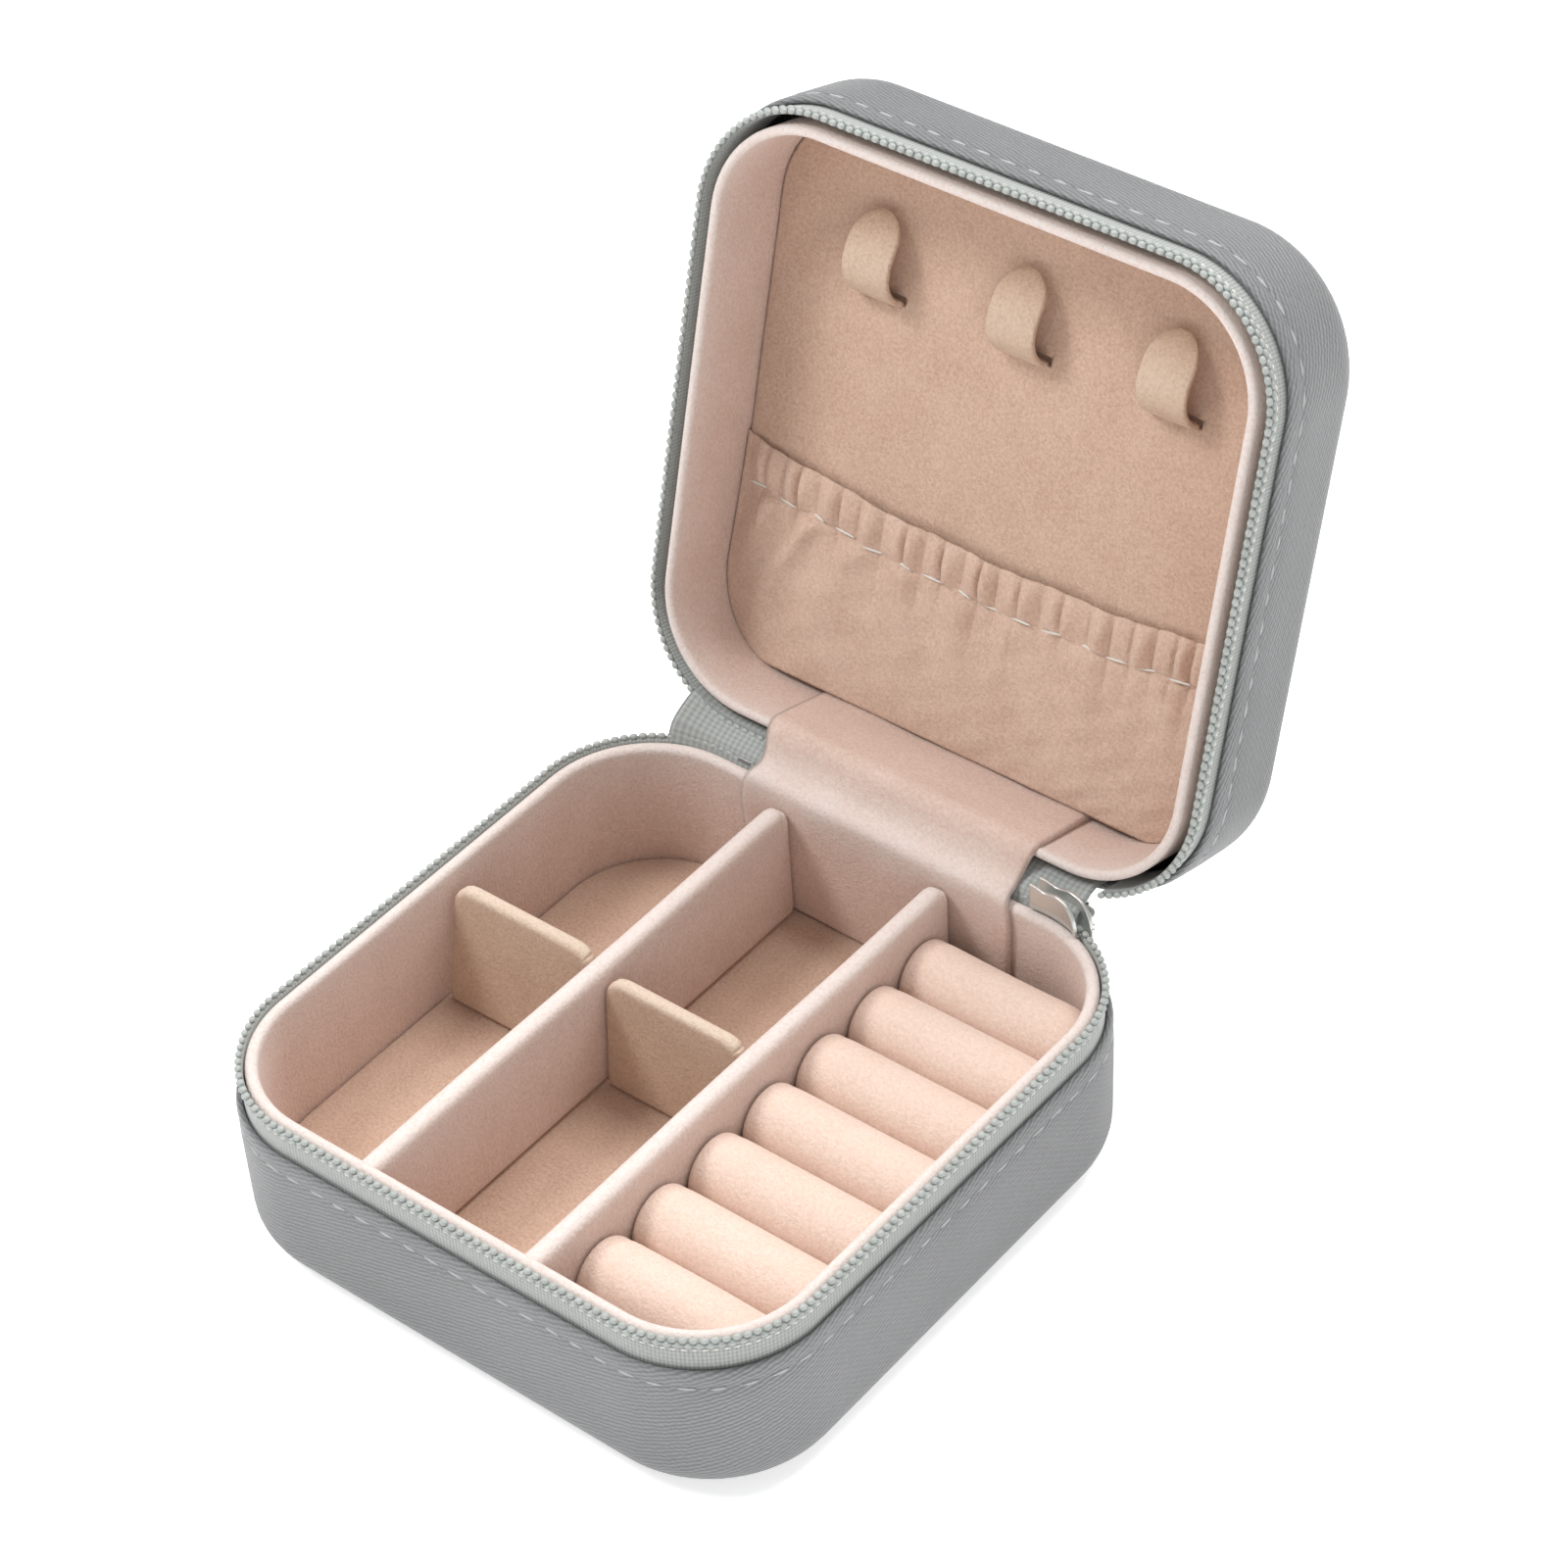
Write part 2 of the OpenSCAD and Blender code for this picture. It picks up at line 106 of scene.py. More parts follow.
def outline_at(t, inset=0.0):
    """Point and outward normal on the outline, t mm clockwise from the back middle."""
    quarter = pi / 2 * CORNER_R
    reach = CORNER_R - inset
    t = (t + CORNER_X) % PERIMETER
    for length, facing in ((2 * CORNER_X, 90), (2 * CORNER_Y, 0), (2 * CORNER_X, -90), (2 * CORNER_Y, 180)):
        angle = radians(facing)
        nx, ny = cos(angle), sin(angle)
        along = min(t, length)
        cx = (nx - ny) * CORNER_X + ny * along
        cy = (nx + ny) * CORNER_Y - nx * along
        past = max(0.0, t - length)
        if past <= quarter + 1e-9:
            break
        t -= length + quarter
    angle -= past / CORNER_R
    nx, ny = cos(angle), sin(angle)
    return cx + nx * reach, cy + ny * reach, nx, ny


def stations(start, end, step=1.6):
    """Evenly spaced distances from start to end, about step apart."""
    count = max(2, int(round(abs(end - start) / step)))
    return [start + (end - start) * i / count for i in range(count + 1)]


def inner_half_width(y, inset):
    """Half the width of the inset outline at depth y."""
    r = CORNER_R - inset
    dy = max(0.0, abs(y) - CORNER_Y)
    return CORNER_X + sqrt(max(0.0, r * r - dy * dy))


# ---- mesh helpers


def make_mesh(name, verts, faces, uvs=None, pile=None, place=AS_IS, smooth=True):
    """A mesh object from millimetre coordinates, with an optional UV per face corner."""
    mesh = bpy.data.meshes.new(name)
    points = [tuple((place @ Vector(v)) * MM) for v in verts]
    mesh.from_pydata(points, [], faces)
    if uvs is not None:
        layer = mesh.uv_layers.new(name="surface")
        flat = [c for face in uvs for corner in face for c in corner]
        layer.data.foreach_set("uv", flat)
    if pile is not None:
        attribute = mesh.attributes.new("pile", "FLOAT", "POINT")
        attribute.data.foreach_set("value", list(pile))
    bm = bmesh.new()
    bm.from_mesh(mesh)
    bmesh.ops.recalc_face_normals(bm, faces=bm.faces)
    bm.to_mesh(mesh)
    bm.free()
    mesh.polygons.foreach_set("use_smooth", [smooth] * len(mesh.polygons))
    obj = bpy.data.objects.new(name, mesh)
    bpy.context.scene.collection.objects.link(obj)
    return obj


def add_piece(obj, material, body=None, replaces=()):
    """Gives a piece its material and ties it to a CAD body."""
    obj.data.materials.clear()
    obj.data.materials.append(material)
    if body:
        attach(obj, body)
    if replaces:
        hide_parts(*replaces)
    return obj


CAP_RINGS = 14


def tube_faces(rings, around, first=0):
    """Quads between rings of points, and a face over each end."""
    faces = []
    for i in range(rings - 1):
        for j in range(around):
            k = (j + 1) % around
            a, b = first + i * around, first + (i + 1) * around
            faces.append((a + j, a + k, b + k, b + j))
    faces.append(tuple(first + j for j in reversed(range(around))))
    faces.append(tuple(first + (rings - 1) * around + j for j in range(around)))
    return faces


def loft(name, section, ts, closed=True, cap=None, place=AS_IS, pile=None, shift=None):
    """Carries a section of (inset, z) round the outline.

    cap is the crown height of a lid over the last section point, or None.
    shift(t, i) moves a point inwards by that many mm."""
    verts, piles = [], []
    n, m = len(ts), len(section)
    lengths = [0.0]
    for (a, b), (c, d) in zip(section, section[1:]):
        lengths.append(lengths[-1] + hypot(c - a, d - b))
    for t in ts:
        for i, (inset, z) in enumerate(section):
            extra = shift(t, i) if shift else 0.0
            x, y, _, _ = outline_at(t, inset + extra)
            verts.append((x, y, z))
            piles.append(pile[i] if pile else 0.0)
    faces, uvs = [], []
    last = n if closed else n - 1
    for j in range(last):
        k = (j + 1) % n
        t0 = ts[j]
        t1 = ts[k] if k else ts[0] + PERIMETER
        for i in range(m - 1):
            faces.append((j * m + i, k * m + i, k * m + i + 1, j * m + i + 1))
            s0, s1 = lengths[i], lengths[i + 1]
            uvs.append([(t * MM, s * MM) for t, s in ((t0, s0), (t1, s0), (t1, s1), (t0, s1))])
    if cap is not None:
        rings = [1 - i / CAP_RINGS for i in range(CAP_RINGS + 1)]
        edge = [verts[j * m + m - 1] for j in range(n)]
        previous = [j * m + m - 1 for j in range(n)]
        for scale in rings[1:]:
            rise = cap * (1 - scale**4)
            if scale < 1e-6:
                verts.append((0, 0, edge[0][2] + cap))
                piles.append(0.0)
                current = [len(verts) - 1] * n
            else:
                current = []
                for x, y, z in edge:
                    verts.append((x * scale, y * scale, z + rise))
                    piles.append(0.0)
                    current.append(len(verts) - 1)
            for j in range(n):
                k = (j + 1) % n
                face = [previous[j], previous[k], current[k]]
                if current[j] != current[k]:
                    face.append(current[j])
                faces.append(tuple(face))
                uvs.append([(verts[q][0] * MM, verts[q][1] * MM) for q in face])
            previous = current
    return make_mesh(name, verts, faces, uvs, piles, place)


BOX_EDGE_STEPS = 5


def rounded_box(name, lo, hi, r, pitch=1.2, shape=None, painted_sheen_at=None, place=AS_IS):
    """A box with rounded edges on a dense grid; shape(x, y, z) bends it afterwards.

    The sheen function, given x, y and z, says how much painted sheen pales the pile there."""
    lo, hi = np.array(lo, float), np.array(hi, float)
    axes = []
    for a, b in zip(lo, hi):
        rim = [a + r * (1 - cos(pi / 2 * i / BOX_EDGE_STEPS)) for i in range(BOX_EDGE_STEPS)]
        middle = list(np.linspace(a + r, b - r, max(2, int((b - a - 2 * r) / pitch) + 1)))
        axes.append(rim + middle + [a + b - q for q in reversed(rim)])
    bm = bmesh.new()
    index = {}

    def vert(i, j, k):
        key = (i, j, k)
        if key not in index:
            p = np.array([axes[0][i], axes[1][j], axes[2][k]])
            core = np.clip(p, lo + r, hi - r)
            d = p - core
            size = np.linalg.norm(d)
            if size > 1e-9:
                p = core + d / size * r
            index[key] = bm.verts.new(p)
        return index[key]

    counts = [len(a) - 1 for a in axes]
    for axis in range(3):
        u, v = [a for a in range(3) if a != axis]
        for side in (0, counts[axis]):
            for i in range(counts[u]):
                for j in range(counts[v]):
                    quad = []
                    for di, dj in ((0, 0), (1, 0), (1, 1), (0, 1)):
                        key = [0, 0, 0]
                        key[axis], key[u], key[v] = side, i + di, j + dj
                        quad.append(vert(*key))
                    bm.faces.new(quad)
    bmesh.ops.recalc_face_normals(bm, faces=bm.faces)
    bm.verts.ensure_lookup_table()
    verts = [tuple(shape(*v.co)) if shape else tuple(v.co) for v in bm.verts]
    # painted sheen mask: how much paler the pile is painted at each point
    piles = [painted_sheen_at(*v.co) if painted_sheen_at else 0.0 for v in bm.verts]
    bm.verts.index_update()
    faces = [tuple(v.index for v in f.verts) for f in bm.faces]
    bm.free()
    return make_mesh(name, verts, faces, None, piles, place)


def round_corner(a, b, radius):
    """Pulls a point of a square corner onto a circle; a and b are measured into the corner."""
    if a <= 0 or b <= 0:
        return a, b
    scale = max(a, b) / hypot(a, b)
    return a * scale, b * scale


def ball(rings=6, segments=8):
    """Vertices and faces of a unit ball."""
    verts = [(0, 0, 1)]
    for i in range(1, rings):
        phi = pi * i / rings
        for j in range(segments):
            th = 2 * pi * j / segments
            verts.append((sin(phi) * cos(th), sin(phi) * sin(th), cos(phi)))
    verts.append((0, 0, -1))
    faces = [(0, 1 + j, 1 + (j + 1) % segments) for j in range(segments)]
    for i in range(rings - 2):
        for j in range(segments):
            a, b = 1 + i * segments + j, 1 + i * segments + (j + 1) % segments
            faces.append((a, a + segments, b + segments, b))
    end = len(verts) - 1
    base = 1 + (rings - 2) * segments
    faces += [(end, base + (j + 1) % segments, base + j) for j in range(segments)]
    return verts, faces


def scatter(name, beads, place=AS_IS, rings=6, segments=8):
    """One mesh of many small balls; each bead is (centre, along, out, size), in mm."""
    shape, links = ball(rings, segments)
    verts, faces = [], []
    for centre, along, out, size in beads:
        along = Vector(along).normalized()
        out = (Vector(out) - along * Vector(out).dot(along)).normalized()
        side = along.cross(out)
        first = len(verts)
        for p in shape:
            q = Vector(centre) + along * (p[0] * size[0]) + out * (p[1] * size[1]) + side * (p[2] * size[2])
            verts.append(tuple(q))
        faces += [tuple(i + first for i in f) for f in links]
    return make_mesh(name, verts, faces, place=place)


# ---- materials


def srgb(r, g, b):
    """An sRGB colour 0 to 255 as a linear one."""
    linear = []
    for c in (r, g, b):
        c /= 255
        linear.append(c / 12.92 if c <= 0.04045 else ((c + 0.055) / 1.055) ** 2.4)
    return (*linear, 1.0)


class Shader:
    """A small wrapper that adds nodes to one Principled material."""

    def __init__(self, name, rough, metallic=0.0, specular=0.5, **sockets):
        self.mat = bpy.data.materials.new(name)
        self.mat.use_nodes = True
        self.tree = self.mat.node_tree
        self.bsdf = self.tree.nodes["Principled BSDF"]
        sockets.update(Roughness=rough, Metallic=metallic, Specular_IOR_Level=specular)
        for key, value in sockets.items():
            self.feed(self.bsdf.inputs[key.replace("_", " ")], value)
        self.coord = self.tree.nodes.new("ShaderNodeTexCoord")

    def feed(self, socket, value):
        """A number or colour is set on the socket itself, anything else is linked to it."""
        if isinstance(value, (int, float, tuple)):
            socket.default_value = value
        else:
            self.tree.links.new(value, socket)

    def node(self, kind, **inputs):
        node = self.tree.nodes.new("ShaderNode" + kind)
        for key, value in inputs.items():
            self.feed(node.inputs[key.replace("_", " ")], value)
        return node

    def noise(self, scale, detail=3.0, roughness=0.55, distortion=0.0, source="Object"):
        look = {"Scale": scale, "Detail": detail, "Roughness": roughness, "Distortion": distortion}
        return self.node("TexNoise", Vector=self.coord.outputs[source], **look).outputs["Fac"]

    def wave(self, scale, angle=0.0, distortion=1.0, detail_scale=1.0):
        turn = self.node("Mapping", Rotation=(0, 0, radians(angle)), Vector=self.coord.outputs["UV"])
        look = {"Scale": scale, "Distortion": distortion, "Detail": 2.0, "Detail Scale": detail_scale}
        node = self.node("TexWave", Vector=turn.outputs["Vector"], **look)
        node.bands_direction = "X"
        return node.outputs["Fac"]

    def math(self, op, a, b):
        node = self.node("Math")
        node.operation = op
        self.feed(node.inputs[0], a)
        self.feed(node.inputs[1], b)
        return node.outputs[0]

    def add(self, a, b):
        return self.math("ADD", a, b)

    def times(self, a, b):
        return self.math("MULTIPLY", a, b)

    def ramp(self, fac, low, high):
        return self.node("MapRange", From_Min=low, From_Max=high, Value=fac).outputs["Result"]

    def mix(self, fac, a, b):
        node = self.node("Mix")
        node.data_type = "RGBA"
        for index, value in ((0, fac), (6, a), (7, b)):
            self.feed(node.inputs[index], value)
        return node.outputs[2]

    def pile(self):
        node = self.node("Attribute")
        node.attribute_name = "pile"
        return node.outputs["Fac"]

    def bump(self, height, distance, strength=1.0, **before):
        node = self.node("Bump", Strength=strength, Distance=distance, Height=height, **before)
        return node.outputs["Normal"]

    def done(self, colour, normal, rough=None):
        self.feed(self.bsdf.inputs["Base Color"], colour)
        if normal is not None:
            self.feed(self.bsdf.inputs["Normal"], normal)
        if rough is not None:
            self.feed(self.bsdf.inputs["Roughness"], rough)
        return self.mat


NAP_SCALE = 110.0
SPECKLE_SCALE = 1900.0


def velvet(name, dark, light, edge, sheen_tint):
    """Short-pile velvet: mottled nap, speckle, and a painted sheen that pales the pile where the mesh's pile
    attribute is set.
    """
    s = Shader(name, 0.92, specular=0.12, Sheen_Weight=0.25, Sheen_Roughness=0.45, Sheen_Tint=sheen_tint)
    nap = s.noise(NAP_SCALE, 3, 0.6, 0.4)
    grain = s.noise(SPECKLE_SCALE, 3, 0.65)
    fibre = s.noise(SPECKLE_SCALE * 2.6, 2, 0.6)
    mottle = s.times(s.ramp(nap, 0.3, 0.7), 0.3)
    speckle = s.times(s.ramp(grain, 0.34, 0.66), 0.7)
    colour = s.mix(s.add(mottle, speckle), dark, light)
    tips = s.times(s.ramp(fibre, 0.54, 0.74), 0.5)
    colour = s.mix(tips, colour, edge)
    # painted sheen: the pile is painted paler where the pile attribute asks, broken up by the speckle
    painted_sheen = s.times(s.pile(), s.ramp(grain, 0.0, 0.6))
    colour = s.mix(painted_sheen, colour, edge)
    normal = s.bump(grain, 0.0003, 0.6)
    normal = s.bump(fibre, 0.0001, 0.5, Normal=normal)
    return s.done(colour, normal)


def leather(name, dark, light):
    """Fine cross-grained imitation leather, paler on the raised grain and in soft clouds."""
    s = Shader(name, 0.52, specular=0.35, Coat_Weight=0.06, Coat_Roughness=0.35)
    ridge_a = s.wave(430.0, 71.0, 3.2, 1.3)
    ridge_b = s.wave(380.0, -52.0, 3.0, 2.0)
    pebble = s.noise(1500.0, 3, 0.6, source="UV")
    cloud = s.noise(26.0, 3, 0.5)
    height = s.add(s.times(ridge_a, 0.6), s.times(ridge_b, 0.16))
    height = s.add(height, s.times(pebble, 0.35))
    clouding = s.times(s.ramp(cloud, 0.3, 0.7), 0.18)
    colour = s.mix(s.add(clouding, s.times(height, 0.72)), dark, light)
    normal = s.bump(height, 0.00022, 0.7)
    rough = s.add(0.44, s.times(pebble, 0.16))
    return s.done(colour, normal, rough)


def tape(name, dark, light):
    """Woven zip tape: ribs across, fine rows along."""
    s = Shader(name, 0.78, specular=0.25, Sheen_Weight=0.2)
    ribs = s.wave(520.0, 0.0, 0.3, 1.0)
    rows = s.wave(420.0, 90.0, 0.3, 1.0)
    fuzz = s.noise(2600.0, 2, 0.6)
    weave = s.add(s.times(ribs, 0.6), s.times(rows, 0.4))
    shade = s.add(s.times(weave, 0.7), s.times(fuzz, 0.3))
    colour = s.mix(shade, dark, light)
    normal = s.bump(weave, 0.00014, 0.6)
    return s.done(colour, normal)


def thread(name, dark, light):
    s = Shader(name, 0.6, specular=0.3, Sheen_Weight=0.25)
    twist = s.noise(2400.0, 2, 0.6)
    return s.done(s.mix(twist, dark, light), s.bump(twist, 0.00008, 0.6))


def nylon(name, dark, light):
    s = Shader(name, 0.42, specular=0.5)
    haze = s.noise(420.0, 3, 0.6)
    return s.done(s.mix(haze, dark, light), s.bump(s.noise(3000.0, 2), 0.00004, 0.4))


def metal(name, dark, light, metallic=0.75):
    s = Shader(name, 0.3, metallic=metallic)
    smear = s.noise(180.0, 4, 0.6, 0.6)
    scratch = s.noise(2600.0, 3, 0.7)
    rough = s.add(0.2, s.times(smear, 0.22))
    return s.done(s.mix(smear, dark, light), s.bump(scratch, 0.00003, 0.35), rough)


def board(name, dark, light):
    s = Shader(name, 0.9, specular=0.15)
    pulp = s.noise(600.0, 5, 0.7)
    return s.done(s.mix(pulp, dark, light), s.bump(pulp, 0.00008, 0.4))


LEATHER = leather("leather_grey", srgb(92, 93, 94), srgb(150, 151, 152))
PALE_TINT = (1.0, 0.96, 0.94, 1)
TAN_TINT = (1.0, 0.94, 0.89, 1)
POCKET_TINT = (1.0, 0.94, 0.9, 1)
PEACH_TINT = (1.0, 0.95, 0.91, 1)
PALE = velvet("velvet_pale", srgb(205, 176, 161), srgb(226, 204, 193), srgb(226, 216, 211), PALE_TINT)
TAN = velvet("velvet_tan", srgb(184, 151, 131), srgb(212, 183, 163), srgb(222, 203, 188), TAN_TINT)
POCKET_TAN = velvet("velvet_pocket", srgb(194, 162, 142), srgb(220, 193, 175), srgb(228, 211, 199), POCKET_TINT)
CAMEL = velvet("velvet_camel", srgb(180, 151, 129), srgb(206, 180, 158), srgb(216, 198, 180), TAN_TINT)
PEACH = velvet("velvet_peach", srgb(215, 188, 172), srgb(233, 210, 196), srgb(238, 222, 212), PEACH_TINT)
TAPE = tape("zip_tape", srgb(138, 142, 139), srgb(184, 187, 184))
COIL = nylon("zip_coil", srgb(150, 155, 151), srgb(190, 194, 190))
THREAD = thread("thread_grey", srgb(154, 154, 156), srgb(190, 190, 191))
THREAD_WHITE = thread("thread_white", srgb(204, 200, 192), srgb(240, 237, 231))
NICKEL = metal("nickel", (0.56, 0.57, 0.55, 1), (0.76, 0.77, 0.75, 1))
# nickel painted dark for the end stop: a painted shade, so it catches no highlight
SHADE_DARKENED_METAL = metal("shade_darkened_nickel", (0.20, 0.20, 0.20, 1), (0.30, 0.30, 0.29, 1), 0.5)
BOARD = board("greyboard", srgb(160, 140, 112), srgb(186, 166, 138))
FOAM = board("foam", srgb(222, 214, 200), srgb(240, 236, 226))

# ---- leather shells and stitching

AROUND = stations(0, PERIMETER)[:-1]
STITCH_DROP = 3.0
STITCH_PITCH = 4.3
STITCH_HALF = STITCH_PITCH * 0.31
STITCH_THICK = (0.2, 0.25)
PUFF = 0.16
SIDE_POINTS = 6
EDGE_STEPS = 10
# inset from the outline, and drop from the leather's edge, from inside the lip to below the stitches
LIP_PROFILE = (
    (LEATHER_T, 3.5),
    (LEATHER_T, 0.45),
    (LEATHER_T * 0.72, 0.08),
    (LEATHER_T * 0.4, 0.0),
    (0.12, 0.14),
    (0.0, 0.5),
    (-PUFF, 1.5),
    (-PUFF * 0.6, 2.3),
    (0.06, STITCH_DROP),
    (-PUFF * 0.6, 3.7),
    (-PUFF, 4.8),
)


def shell_section(edge, far):
    """Leather from its inner edge, over the lip, past the stitch line to the far face."""
    s = 1 if far < edge else -1
    points = [(inset, edge - s * drop) for inset, drop in LIP_PROFILE]
    side = np.linspace(edge - s * 6.5, far + s * EDGE_R, SIDE_POINTS)
    points += [(-PUFF * (1 - i / (SIDE_POINTS - 1)), z) for i, z in enumerate(side)]
    for i in range(1, EDGE_STEPS + 1):
        a = pi / 2 * i / EDGE_STEPS
        points.append((EDGE_R * (1 - cos(a)), far + s * EDGE_R * (1 - sin(a))))
    return points


def outline_stitches(name, z, place, body, seed):
    """Slightly uneven dashes of thread sunk in the leather's stitch groove."""
    rng = random.Random(seed)
    beads = []
    for t in stations(0, PERIMETER, STITCH_PITCH)[:-1]:
        t += rng.uniform(-0.15, 0.15)
        x, y, nx, ny = outline_at(t, 0.02)
        tilt = rng.uniform(-0.05, 0.05)
        rise = rng.uniform(-0.08, 0.08)
        size = (STITCH_HALF + rng.uniform(-0.15, 0.15), *STITCH_THICK)
        beads.append(((x, y, z + rise), (ny, -nx, tilt), (nx, ny, 0), size))
    return add_piece(scatter(name, beads, place, rings=8), THREAD, body)


base_leather = loft("base_leather", shell_section(BASE_EDGE, 0.0), AROUND, cap=0.0)
add_piece(base_leather, LEATHER, "base", ["base_shell"])
lid_leather = loft("lid_leather", shell_section(LID_EDGE, CASE_H), AROUND, cap=0.5, place=TO_OPEN)
add_piece(lid_leather, LEATHER, "lid", ["lid_shell"])
outline_stitches("base_leather_stitches", BASE_EDGE - STITCH_DROP, AS_IS, "base", SEED)
outline_stitches("lid_leather_stitches", LID_EDGE + STITCH_DROP, TO_OPEN, "lid", SEED + 1)

# ---- zip tapes and coils

TAPE_IN = 1.0
TAPE_T = 0.5
BASE_COIL_Z = node_box("base_zip_coil")[0][2] + 0.7
LID_COIL_Z = node_box("lid_zip_coil", TO_CLOSED)[0][2] + 0.7
FLAP_LO, FLAP_HI = node_box("hinge_flap_base")
TAPE_END = 24.0
COIL_PITCH = 1.5
LID_TAPE_X = 36.6
corner_turn = acos((LID_TAPE_X - CORNER_X) / (CORNER_R - TAPE_IN))
LID_TAPE_START = CORNER_X + (pi / 2 - corner_turn) * CORNER_R
COIL_START = FLAP_HI[0] + 0.6
COIL_END = PERIMETER + FLAP_LO[0] - 3.2
# rise, inset and phase of the two rows of turns
COIL_ROWS = ((0.30, 1.0, 0.0), (-0.42, 0.82, 0.5))
COIL_TURN = (0.66, 0.5, 0.42)
LOCK_STITCH = (0.48, 0.14, 0.2)


def zip_tape(name, low, high, start, end, place, body, node):
    inner = TAPE_IN + TAPE_T
    section = [(inner, low), (inner, high - 0.2), (TAPE_IN + TAPE_T / 2, high), (TAPE_IN, high - 0.2)]
    section += [(TAPE_IN, z) for z in np.linspace(high - 0.2, low, 6)[1:]]
    obj = loft(name, section, stations(start, end), closed=False, place=place)
    return add_piece(obj, TAPE, body, [node])


def zip_coil(name, z, up, start, end, place, body, node):
    """Two staggered rows of rounded nylon turns over the tape's edge."""
    beads = []
    count = int((end - start) / COIL_PITCH)
    for rise, inset, phase in COIL_ROWS:
        for i in range(count):
            x, y, nx, ny = outline_at(start + (i + phase) * (end - start) / count, inset)
            beads.append(((x, y, z + up * rise), (ny, -nx, 0), (nx, ny, 0), COIL_TURN))
    return add_piece(scatter(name, beads, place), COIL, body, [node])


def tape_stitches(name, z, start, end, place, body):
    """The fine locking stitches that hold the coil to its tape."""
    beads = []
    for t in stations(start, end, COIL_PITCH):
        x, y, nx, ny = outline_at(t, TAPE_IN - 0.02)
        beads.append(((x, y, z), (ny, -nx, 0), (nx, ny, 0), LOCK_STITCH))
    obj = scatter(name, beads, place, rings=5, segments=6)
    return add_piece(obj, THREAD_WHITE, body)


TAPE_STOP = PERIMETER - TAPE_END
zip_tape("base_tape", BASE_EDGE - 7, BASE_COIL_Z, TAPE_END, TAPE_STOP, AS_IS, "base", "base_zip_tape")
zip_tape("lid_tape", LID_EDGE + 5, LID_COIL_Z, LID_TAPE_START, TAPE_STOP, TO_OPEN, "lid", "lid_zip_tape")
zip_coil("base_coil", BASE_COIL_Z, 1, COIL_START, COIL_END, AS_IS, "base", "base_zip_coil")
zip_coil("lid_coil", LID_COIL_Z, -1, LID_TAPE_START, TAPE_STOP, TO_OPEN, "lid", "lid_zip_coil")
tape_stitches("base_tape_stitches", BASE_COIL_Z - 1.5, COIL_START, COIL_END, AS_IS, "base")
tape_stitches("lid_tape_stitches", LID_COIL_Z + 1.5, LID_TAPE_START, TAPE_STOP, TO_OPEN, "lid")

# ---- velvet liner walls and panels

RIM_STEPS = 8
LID_WALL_T = 1.5
TUCK = 1.5


def liner_section(inset, rim, foot, thick):
    """A velvet wall with a rounded rim; returns the section and how much painted sheen pales each point,
    strongest over the rim and fading down the inner face.
    """
    s = 1 if rim > foot else -1
    r = thick / 2
    section = [(inset, rim - s * 9), (inset, rim - s * 3), (inset, rim - s * r)]
    painted_sheen = [0.0, 0.05, 0.4]
    for i in range(1, RIM_STEPS):
        a = pi * i / RIM_STEPS
        section.append((inset + r - r * cos(a), rim - s * r + s * r * sin(a)))
        painted_sheen.append(0.95)
    depth = abs(rim - foot)
    # below the rim the painted sheen fades away, a painted light dying down the inner face
    for drop in (r, 1.5, 2.2, 3.2, 4.6, 6.4, 8.6, 11.0, depth * 0.7, depth):
        section.append((inset + thick, rim - s * drop))
        painted_sheen.append(0.62 * exp(-max(0.0, drop - r) / 4.2))
    return section, painted_sheen


def liner(name, inset, rim, foot, thick, place, body, node):
    section, painted_sheen = liner_section(inset, rim, foot, thick)
    obj = loft(name, section, AROUND, place=place, pile=painted_sheen)
    return add_piece(obj, PALE, body, [node])


liner("base_liner", BASE_LINER_IN, BASE_RIM, FLOOR - TUCK, LINER_T, AS_IS, "base", "base_liner_wall")
lid_wall_in = LID_LINER_IN + LINER_T - LID_WALL_T
liner("lid_liner", lid_wall_in, LID_RIM, LID_PANEL + TUCK, LID_WALL_T, TO_OPEN, "lid", "lid_liner_wall")


def panel(name, inset, face, depth, place, body, node):
    """A velvet covered board with softly turned edges."""
    s = 1 if depth > 0 else -1
    section = [(inset + 0.15, face - depth), (inset + 0.1, face - s * 0.7)]
    section += [(inset + 0.3, face - s * 0.25), (inset + 0.75, face)]
    # the turned edge gets a touch of painted sheen
    obj = loft(name, section, AROUND, cap=0.0, place=place, pile=[0, 0, 0, 0.2])
    return add_piece(obj, TAN, body, [node])


def carve(obj, cutter):
    """Cuts a pocket out of a mesh and keeps the result as its mesh."""
    cut = obj.modifiers.new("cut", "BOOLEAN")
    cut.object = cutter
    cut.solver = "EXACT"
    graph = bpy.context.evaluated_depsgraph_get()
    result = bpy.data.meshes.new_from_object(obj.evaluated_get(graph), depsgraph=graph)
    obj.modifiers.remove(cut)
    obj.data = result
    bpy.data.objects.remove(cutter)


panel("base_floor", BASE_LINER_IN + LINER_T, FLOOR, 1.5, AS_IS, "base", "base_floor_panel")
lid_face = panel("lid_face", LID_LINER_IN + LINER_T, LID_PANEL, -1.6, TO_OPEN, "lid", "lid_panel")

# ---- dividers


def painted_top_sheen(top, depth=1.4, haze=0.55, fade=5.0):
    """A painted sheen on a top edge, with a fainter painted light that dies away below it."""

    def painted_sheen(x, y, z):
        return max(max(0.0, 1 - (top - z) / depth) ** 0.8, haze * exp(-(top - z) / fade))

    return painted_sheen


DIVIDER_TUCK = 1.2
LONG_CORNER_R = 3.0
LONG_BOW = 0.12
CROSS_BOW = 0.35
CROSS_CORNER_R = 3.5
CROSS_FOOT_Y = -0.3
CROSS_T = 2.5


